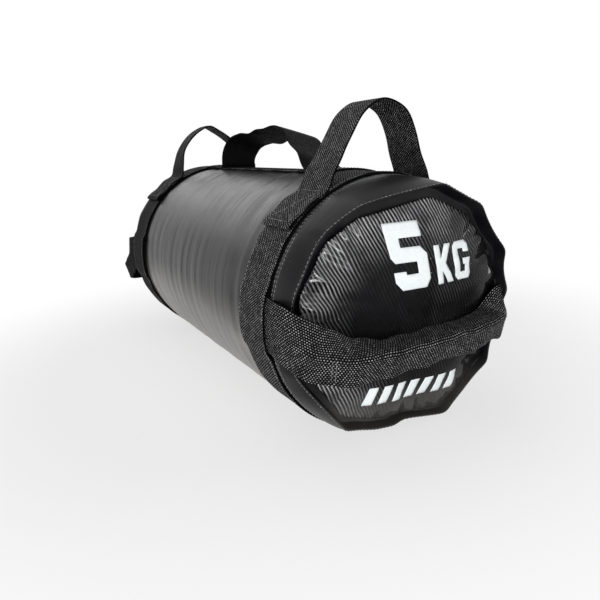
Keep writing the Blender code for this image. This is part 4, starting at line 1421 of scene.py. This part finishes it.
BAR_ROW = tuple(Mark(BAR_SHARES, (-46.0 + 14.6 * index) * MM, (-83.0 - 0.4 * index) * MM,
                     9.0 * MM, 18.0 * MM, BAR_SLANT_SHARE) for index in range(BAR_COUNT))


def inside(outline, point):
    """Whether a point lies in a closed outline."""
    odd = False
    for (x1, y1), (x2, y2) in zip(outline, outline[1:] + outline[:1]):
        if (y1 > point[1]) != (y2 > point[1]):
            if point[0] < x1 + (point[1] - y1) * (x2 - x1) / (y2 - y1):
                odd = not odd
    return odd


def ink_net(outline):
    """Corners and triangles that fill a closed outline, with a grid of points inside it."""
    dense = stepped(outline, PRINT_GRID, round)
    along_y, along_z = (np.arange(min(reach), max(reach), PRINT_GRID) for reach in zip(*outline))
    filler = [(y, z) for y in along_y for z in along_z if inside(outline, (y, z))]
    clear = [spot for spot in filler
             if min(math.hypot(spot[0] - p[0], spot[1] - p[1]) for p in dense) > PRINT_GRID / 2]
    ring = list(range(len(dense)))
    cut = delaunay_2d_cdt([Vector(p) for p in dense + clear], [], [ring], INSIDE_ONLY, CUT_TOLERANCE)
    return cut[0], cut[2]


def build_print(name, disc, marks):
    """Thin raised ink that follows the bulged disc."""
    surface = BVHTree.FromObject(disc, bpy.context.evaluated_depsgraph_get())
    points, faces, places = [], [], []
    for mark in marks:
        outline = [(mark.y + u * mark.width + v * mark.height * mark.slant_share, mark.z + v * mark.height)
                   for u, v in mark.shares]
        flat, triangles = ink_net(outline)
        start = len(points)
        for layer in (PRINT_THICKNESS, -PRINT_SINK):
            for spot in flat:
                origin = Vector((2 * HALF_LENGTH, spot.x, spot.y + AXIS_HEIGHT))
                hit, normal = surface.ray_cast(origin, -ALONG)[:2]
                points.append(hit + normal * layer)
                places.append((spot.x, spot.y, 0.0))
        below = start + len(flat)
        edges = {}
        for triangle in triangles:
            faces.append([start + corner for corner in triangle])
            faces.append([below + corner for corner in reversed(triangle)])
            edges.update(dict.fromkeys(zip(triangle, triangle[1:] + triangle[:1])))
        faces += [[start + first, start + second, below + second, below + first]
                  for first, second in edges if (second, first) not in edges]
    return add_piece(name, points, faces, PRINT, places)


# Seam tape on the underside and the filling
SEAM_TAPE_WIDTH = 22.0 * MM
SEAM_TAPE_THICKNESS = 0.8 * MM
SEAM_TAPE_CLOCK = math.radians(140.0)
SEAM_TAPE_STATIONS = 120
TURN_COLUMNS = 96


def turned_piece(name, profile, material, replaces, relief, waves, seed, pressing=True,
                 columns=TURN_COLUMNS):
    """A closed outline of (x, radius) swept about the axis, with a soft uneven surface."""
    rng = np.random.RandomState(seed)
    clock = round_clock(columns)
    x, radius = np.array(profile, float).T[..., None]
    uneven = soft_noise(rng, clock, x, 10, waves, (30.0, 160.0))
    radius = np.where(radius > MM, radius + relief * np.clip(uneven - 1.2, -2.4, 0.0), radius)
    points = round_axis(x, clock, radius)
    points = lifted(pressed(points)) if pressing else lifted(points)
    return add_piece(name, points, grid_faces(len(profile), columns, wrap_rows=True, wrap_columns=True),
                     material, replaces=replaces)


def build_seam_tape():
    """Welded tape over the closing seam, wrapped to the barrel."""
    strap = straight_strap(SEAM_TAPE_CLOCK, BARREL_RADIUS + CLEARANCE + SEAM_TAPE_THICKNESS / 2,
                           BAND_REAR_EDGE - CLEARANCE, SEAM_TAPE_STATIONS, width=SEAM_TAPE_WIDTH,
                           thickness=SEAM_TAPE_THICKNESS)
    tape = build_strap("seam_tape_strip", strap, 61, ("closing_seam_tape",), waviness=0.1 * MM)
    tape.data.materials[0] = BARREL_VINYL


def inner_reach(node_name):
    """Lengthwise reach and outer radius of an inner CAD piece."""
    low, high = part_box(node_name)
    return low[0], high[0], high[1]


FOAM_BORE_RADIUS = 50.0 * MM
SACK_WALL = 0.8 * MM
SACK_CORNER = 8.0 * MM
SACK_SHOULDER = 22.0 * MM
SACK_NECK_LENGTH = 24.0 * MM
SACK_NECK_RADIUS = 12.0 * MM
OUTLINE_SPACING = 8.0 * MM
PAD_DOME_SHARES = (1.0, 0.88, 0.7, 0.5, 0.3, 0.12)
PAD_FACE_RADIUS = 88.0 * MM
PAD_CORE_RADIUS = MM
PAD_REST = 7.0 * MM
PAD_LEAN_RUN = 26.0 * MM
TIE_CORNERS = 14


def build_foam_sleeve():
    """Thick foam sleeve that keeps the barrel round."""
    low, high, radius = inner_reach("foam_wrap")
    bore = FOAM_BORE_RADIUS
    wrap = stepped([(low, radius), (high, radius), (high, bore), (low, bore)], OUTLINE_SPACING)
    foam = turned_piece("foam_sleeve", wrap, FOAM, ("foam_wrap",),
                        relief=0.4 * MM, waves=(3, 12), seed=71)


def build_foam_pad(end):
    """Foam behind an end disc, leaning with it."""
    low, high, radius = inner_reach(end.label + "_foam_pad")
    back, face = (low, high) if end.facing > 0 else (high, low)
    rim_face = end.facing * (HALF_LENGTH - HEM_DEPTH - 1.5 * SKIN_THICKNESS)
    dome = [(rim_face + (face - rim_face) * (1.0 - share ** DISC_BULGE_POWER), share * PAD_FACE_RADIUS)
            for share in PAD_DOME_SHARES]
    outline = stepped([(back, PAD_CORE_RADIUS), (back, radius)] + dome, OUTLINE_SPACING)
    pad = turned_piece(end.label + "_foam_disc", outline, FOAM, (end.label + "_foam_pad",),
                       relief=0.3 * MM, waves=(3, 12), seed=end.seed + 11)
    for vertex in pad.data.vertices:
        reach = smoothstep((end.facing * vertex.co.x - abs(back)) / PAD_LEAN_RUN)
        height = vertex.co.z - AXIS_HEIGHT
        lean = float(end_lean(end, vertex.co.y, height) - hem_tilt(end, vertex.co.y, height))
        vertex.co.x += end.facing * (float(reach) * lean - PAD_REST)


def build_sand_sack():
    """Sack with its neck tied, and the sand in it."""
    back, mouth, sack_radius = inner_reach("sand_sack")
    neck = mouth - SACK_NECK_LENGTH
    shoulder = neck - SACK_SHOULDER
    wall = SACK_WALL
    outer = [(back, MM), (back, sack_radius - SACK_CORNER), (back + SACK_CORNER, sack_radius),
             (shoulder, sack_radius), (neck, SACK_NECK_RADIUS), (mouth, SACK_NECK_RADIUS)]
    inner = [(mouth, SACK_NECK_RADIUS - wall), (neck - wall, SACK_NECK_RADIUS - wall),
             (shoulder - wall / 2, sack_radius - wall), (back + SACK_CORNER, sack_radius - wall),
             (back + wall, sack_radius - SACK_CORNER - wall / 2), (back + wall, MM)]
    sack = turned_piece("tied_sack", stepped(outer + inner, OUTLINE_SPACING), SACKCLOTH,
                        ("sand_sack",), relief=0.25 * MM, waves=(6, 30), seed=81, pressing=False,
                        columns=144)
    gap = wall + 4 * CLEARANCE
    sand = [(back + gap, MM), (back + gap, sack_radius - SACK_CORNER - gap),
            (back + SACK_CORNER, sack_radius - gap), (shoulder - gap, sack_radius - gap),
            (neck - gap, SACK_NECK_RADIUS - gap), (neck, MM)]
    turned_piece("sand_load", stepped(sand, OUTLINE_SPACING), SAND, ("sand_fill",),
                 relief=0.5 * MM, waves=(4, 22), seed=82, pressing=False, columns=120)
    low, high, tie_radius = inner_reach("sack_tie")
    inner_radius = SACK_NECK_RADIUS + CLEARANCE
    middle, half = (low + high) / 2, (high - low) / 2
    swell = (tie_radius - inner_radius) / 2
    tie = [(middle + half * math.cos(angle), inner_radius + swell + swell * math.sin(angle))
           for angle in np.linspace(0.0, math.tau, TIE_CORNERS, endpoint=False)]
    turned_piece("neck_tie", tie, NYLON, ("sack_tie",),
                 relief=0.02 * MM, waves=(2, 8), seed=83, pressing=False)


# Ends: the way that each faces, its random seed, its webbing (the lit copy, or the shaded copy as painted
# shade), the corners and lean of its rim, the arch, skew and skew run of the handle on its band, and the
# route, sides and sag of the handle across its face
End = namedtuple("End", "label facing seed webbing corners lean arch skew skew_run loop sides sag")
FRONT = End("front", 1.0, 21, LIT_WEBBING, FRONT_RIM_CORNER_SHARES, FRONT_RIM_LEAN_SHARES,
            FRONT_ARCH_SHARES, math.radians(-5.0), 50.0 * MM,
            FRONT_LOOP_SHARES, (EASY_SIDE, LOW_SIDE), 20.5 * MM)
REAR = End("rear", -1.0, 37, SHADED_WEBBING, REAR_RIM_CORNER_SHARES, REAR_RIM_LEAN_SHARES,
           REAR_ARCH_SHARES, math.radians(-8.0), 47.0 * MM,
           REAR_LOOP_SHARES, (SOON_SIDE, LEVEL_SIDE), 31.0 * MM)

# The object
build_barrel_cover()
for end in (FRONT, REAR):
    build_rim(end)
    add_stitches(end.label + "_strip_stitches", strip_rows(end, STRIP_STITCH_OFFSETS), end.seed + 4)
    add_stitches(end.label + "_hem_stitches", [lip_run(end)], end.seed + 7)
    build_band(end)
front_disc = build_disc(FRONT)
build_disc(REAR)
build_print("weight_print", front_disc, WEIGHT_MARKS)
build_print("bar_print", front_disc, BAR_ROW)
build_band_handle(FRONT)
build_band_handle(REAR)
build_centre_handle()
build_end_handle(FRONT)
build_end_handle(REAR)
build_seam_tape()
build_foam_sleeve()
build_foam_pad(FRONT)
build_foam_pad(REAR)
build_sand_sack()

# Floor, light and camera
SEEN_WORLD = 1.0
LIT_WORLD = 0.16
FLOOR_HALF = 12.0
FLOOR_FADE_START = 0.25
FLOOR_FADE_STOP = 0.62
FLOOR_WHITE_SHARE = 0.68
WHITE = (1.0, 1.0, 1.0, 1.0)


def seen_directly(tree):
    """1 for rays that show the background: from the camera, off gloss or through glass."""
    rays = node(tree, "ShaderNodeLightPath").outputs
    return calc(tree, "MAXIMUM", calc(tree, "MAXIMUM", rays["Is Camera Ray"], rays["Is Glossy Ray"]),
                rays["Is Transmission Ray"])


def build_floor():
    """Pale floor that fades to white away from the bag, where rays show it directly."""
    material, tree, shader = new_material("pale_floor")
    where = position(tree)
    tree.links.new(blend_colour(tree, noise(tree, where, 3.0, 2.0), (0.83, 0.83, 0.83), (0.86, 0.86, 0.86)),
                   shader["Base Color"])
    shader["Roughness"].default_value = 0.9
    shader["Specular IOR Level"].default_value = 0.1
    fade = eased(tree, length_of(tree, where), FLOOR_FADE_START, FLOOR_FADE_STOP, FLOOR_WHITE_SHARE)
    share = times(tree, seen_directly(tree), fade)
    white = node(tree, "ShaderNodeEmission", {"Color": WHITE, "Strength": SEEN_WORLD}).outputs[0]
    lit = tree.nodes["Principled BSDF"].outputs[0]
    mixed = node(tree, "ShaderNodeMixShader", {0: share, 1: lit, 2: white}).outputs[0]
    tree.links.new(mixed, tree.nodes["Material Output"].inputs["Surface"])
    corners = [(x * FLOOR_HALF, y * FLOOR_HALF, 0.0) for x, y in ((-1, -1), (1, -1), (1, 1), (-1, 1))]
    floor = add_piece("floor", corners, [(0, 1, 2, 3)], material, body=None)


def build_world():
    """White background that lights the bag with less than it shows."""
    world = bpy.data.worlds.new("studio")
    world.use_nodes = True
    tree = world.node_tree
    tree.nodes.clear()
    lit, seen = (node(tree, "ShaderNodeBackground", {"Color": WHITE, "Strength": strength}).outputs[0]
                 for strength in (LIT_WORLD, SEEN_WORLD))
    mixed = node(tree, "ShaderNodeMixShader", {0: seen_directly(tree), 1: lit, 2: seen}).outputs[0]
    node(tree, "ShaderNodeOutputWorld", {"Surface": mixed})
    bpy.context.scene.world = world


AIM = Vector((0.05, 0.0, 0.12))
Lamp = namedtuple("Lamp", "name place width height power")
LAMPS = (
    Lamp("top_softbox", (-0.5, -0.3, 2.2), 2.2, 1.8, 10.0),
    Lamp("back_softbox", (-2.2, -0.5, 1.5), 2.4, 1.2, 14.0),
    Lamp("left_softbox", (-0.9, -2.0, 0.5), 1.6, 0.8, 6.0),
    Lamp("front_left_strip", (1.45, -1.05, 0.42), 0.12, 0.52, 5.6),
    Lamp("front_key", (1.60, -0.43, 0.95), 0.24, 0.24, 1.4),
    Lamp("front_strip", (1.30, -0.63, 0.23), 0.075, 0.44, 3.8),
    Lamp("low_strip", (0.64, -0.34, 0.02), 0.3, 0.02, 0.7),
    Lamp("right_strip", (0.9, 1.7, 0.6), 0.3, 0.9, 6.0),
)


def build_lamps():
    """Soft boxes and strips, all turned to the bag and hidden from the camera."""
    for lamp in LAMPS:
        data = bpy.data.lights.new(lamp.name, "AREA")
        data.shape = "RECTANGLE"
        data.size = lamp.width
        data.size_y = lamp.height
        data.energy = lamp.power
        light = bpy.data.objects.new(lamp.name, data)
        light.location = lamp.place
        light.visible_camera = False
        light.rotation_mode = "QUATERNION"
        light.rotation_quaternion = (AIM - Vector(lamp.place)).to_track_quat("-Z", "Y")
        bpy.context.scene.collection.objects.link(light)


CAMERA_TARGET = Vector((0.2535, -0.1075, 0.15266))
CAMERA_DISTANCE = 0.44381
CAMERA_AZIMUTH = math.radians(60.9934)
CAMERA_ELEVATION = math.radians(16.32633)
CAMERA_ROLL = math.radians(-3.76018)
CAMERA_LENS_MM = 33.304
SENSOR_MM = 36.0


def build_camera():
    """Camera solved from the photograph, from its target, distance and three angles."""
    back = Vector((math.sin(CAMERA_AZIMUTH) * math.cos(CAMERA_ELEVATION),
                   -math.cos(CAMERA_AZIMUTH) * math.cos(CAMERA_ELEVATION), math.sin(CAMERA_ELEVATION)))
    level = Vector((math.cos(CAMERA_AZIMUTH), math.sin(CAMERA_AZIMUTH), 0.0))
    upward = back.cross(level)
    right = level * math.cos(CAMERA_ROLL) + upward * math.sin(CAMERA_ROLL)
    top = upward * math.cos(CAMERA_ROLL) - level * math.sin(CAMERA_ROLL)
    data = bpy.data.cameras.new("photo_camera")
    data.lens = CAMERA_LENS_MM
    data.sensor_width = SENSOR_MM
    camera = bpy.data.objects.new("photo_camera", data)
    camera.matrix_world = Matrix.Translation(CAMERA_TARGET + back * CAMERA_DISTANCE) @ Matrix(
        (right, top, back)).transposed().to_4x4()
    bpy.context.scene.collection.objects.link(camera)
    bpy.context.scene.camera = camera


build_floor()
build_world()
build_lamps()
build_camera()
bpy.context.scene.view_settings.view_transform = "Standard"
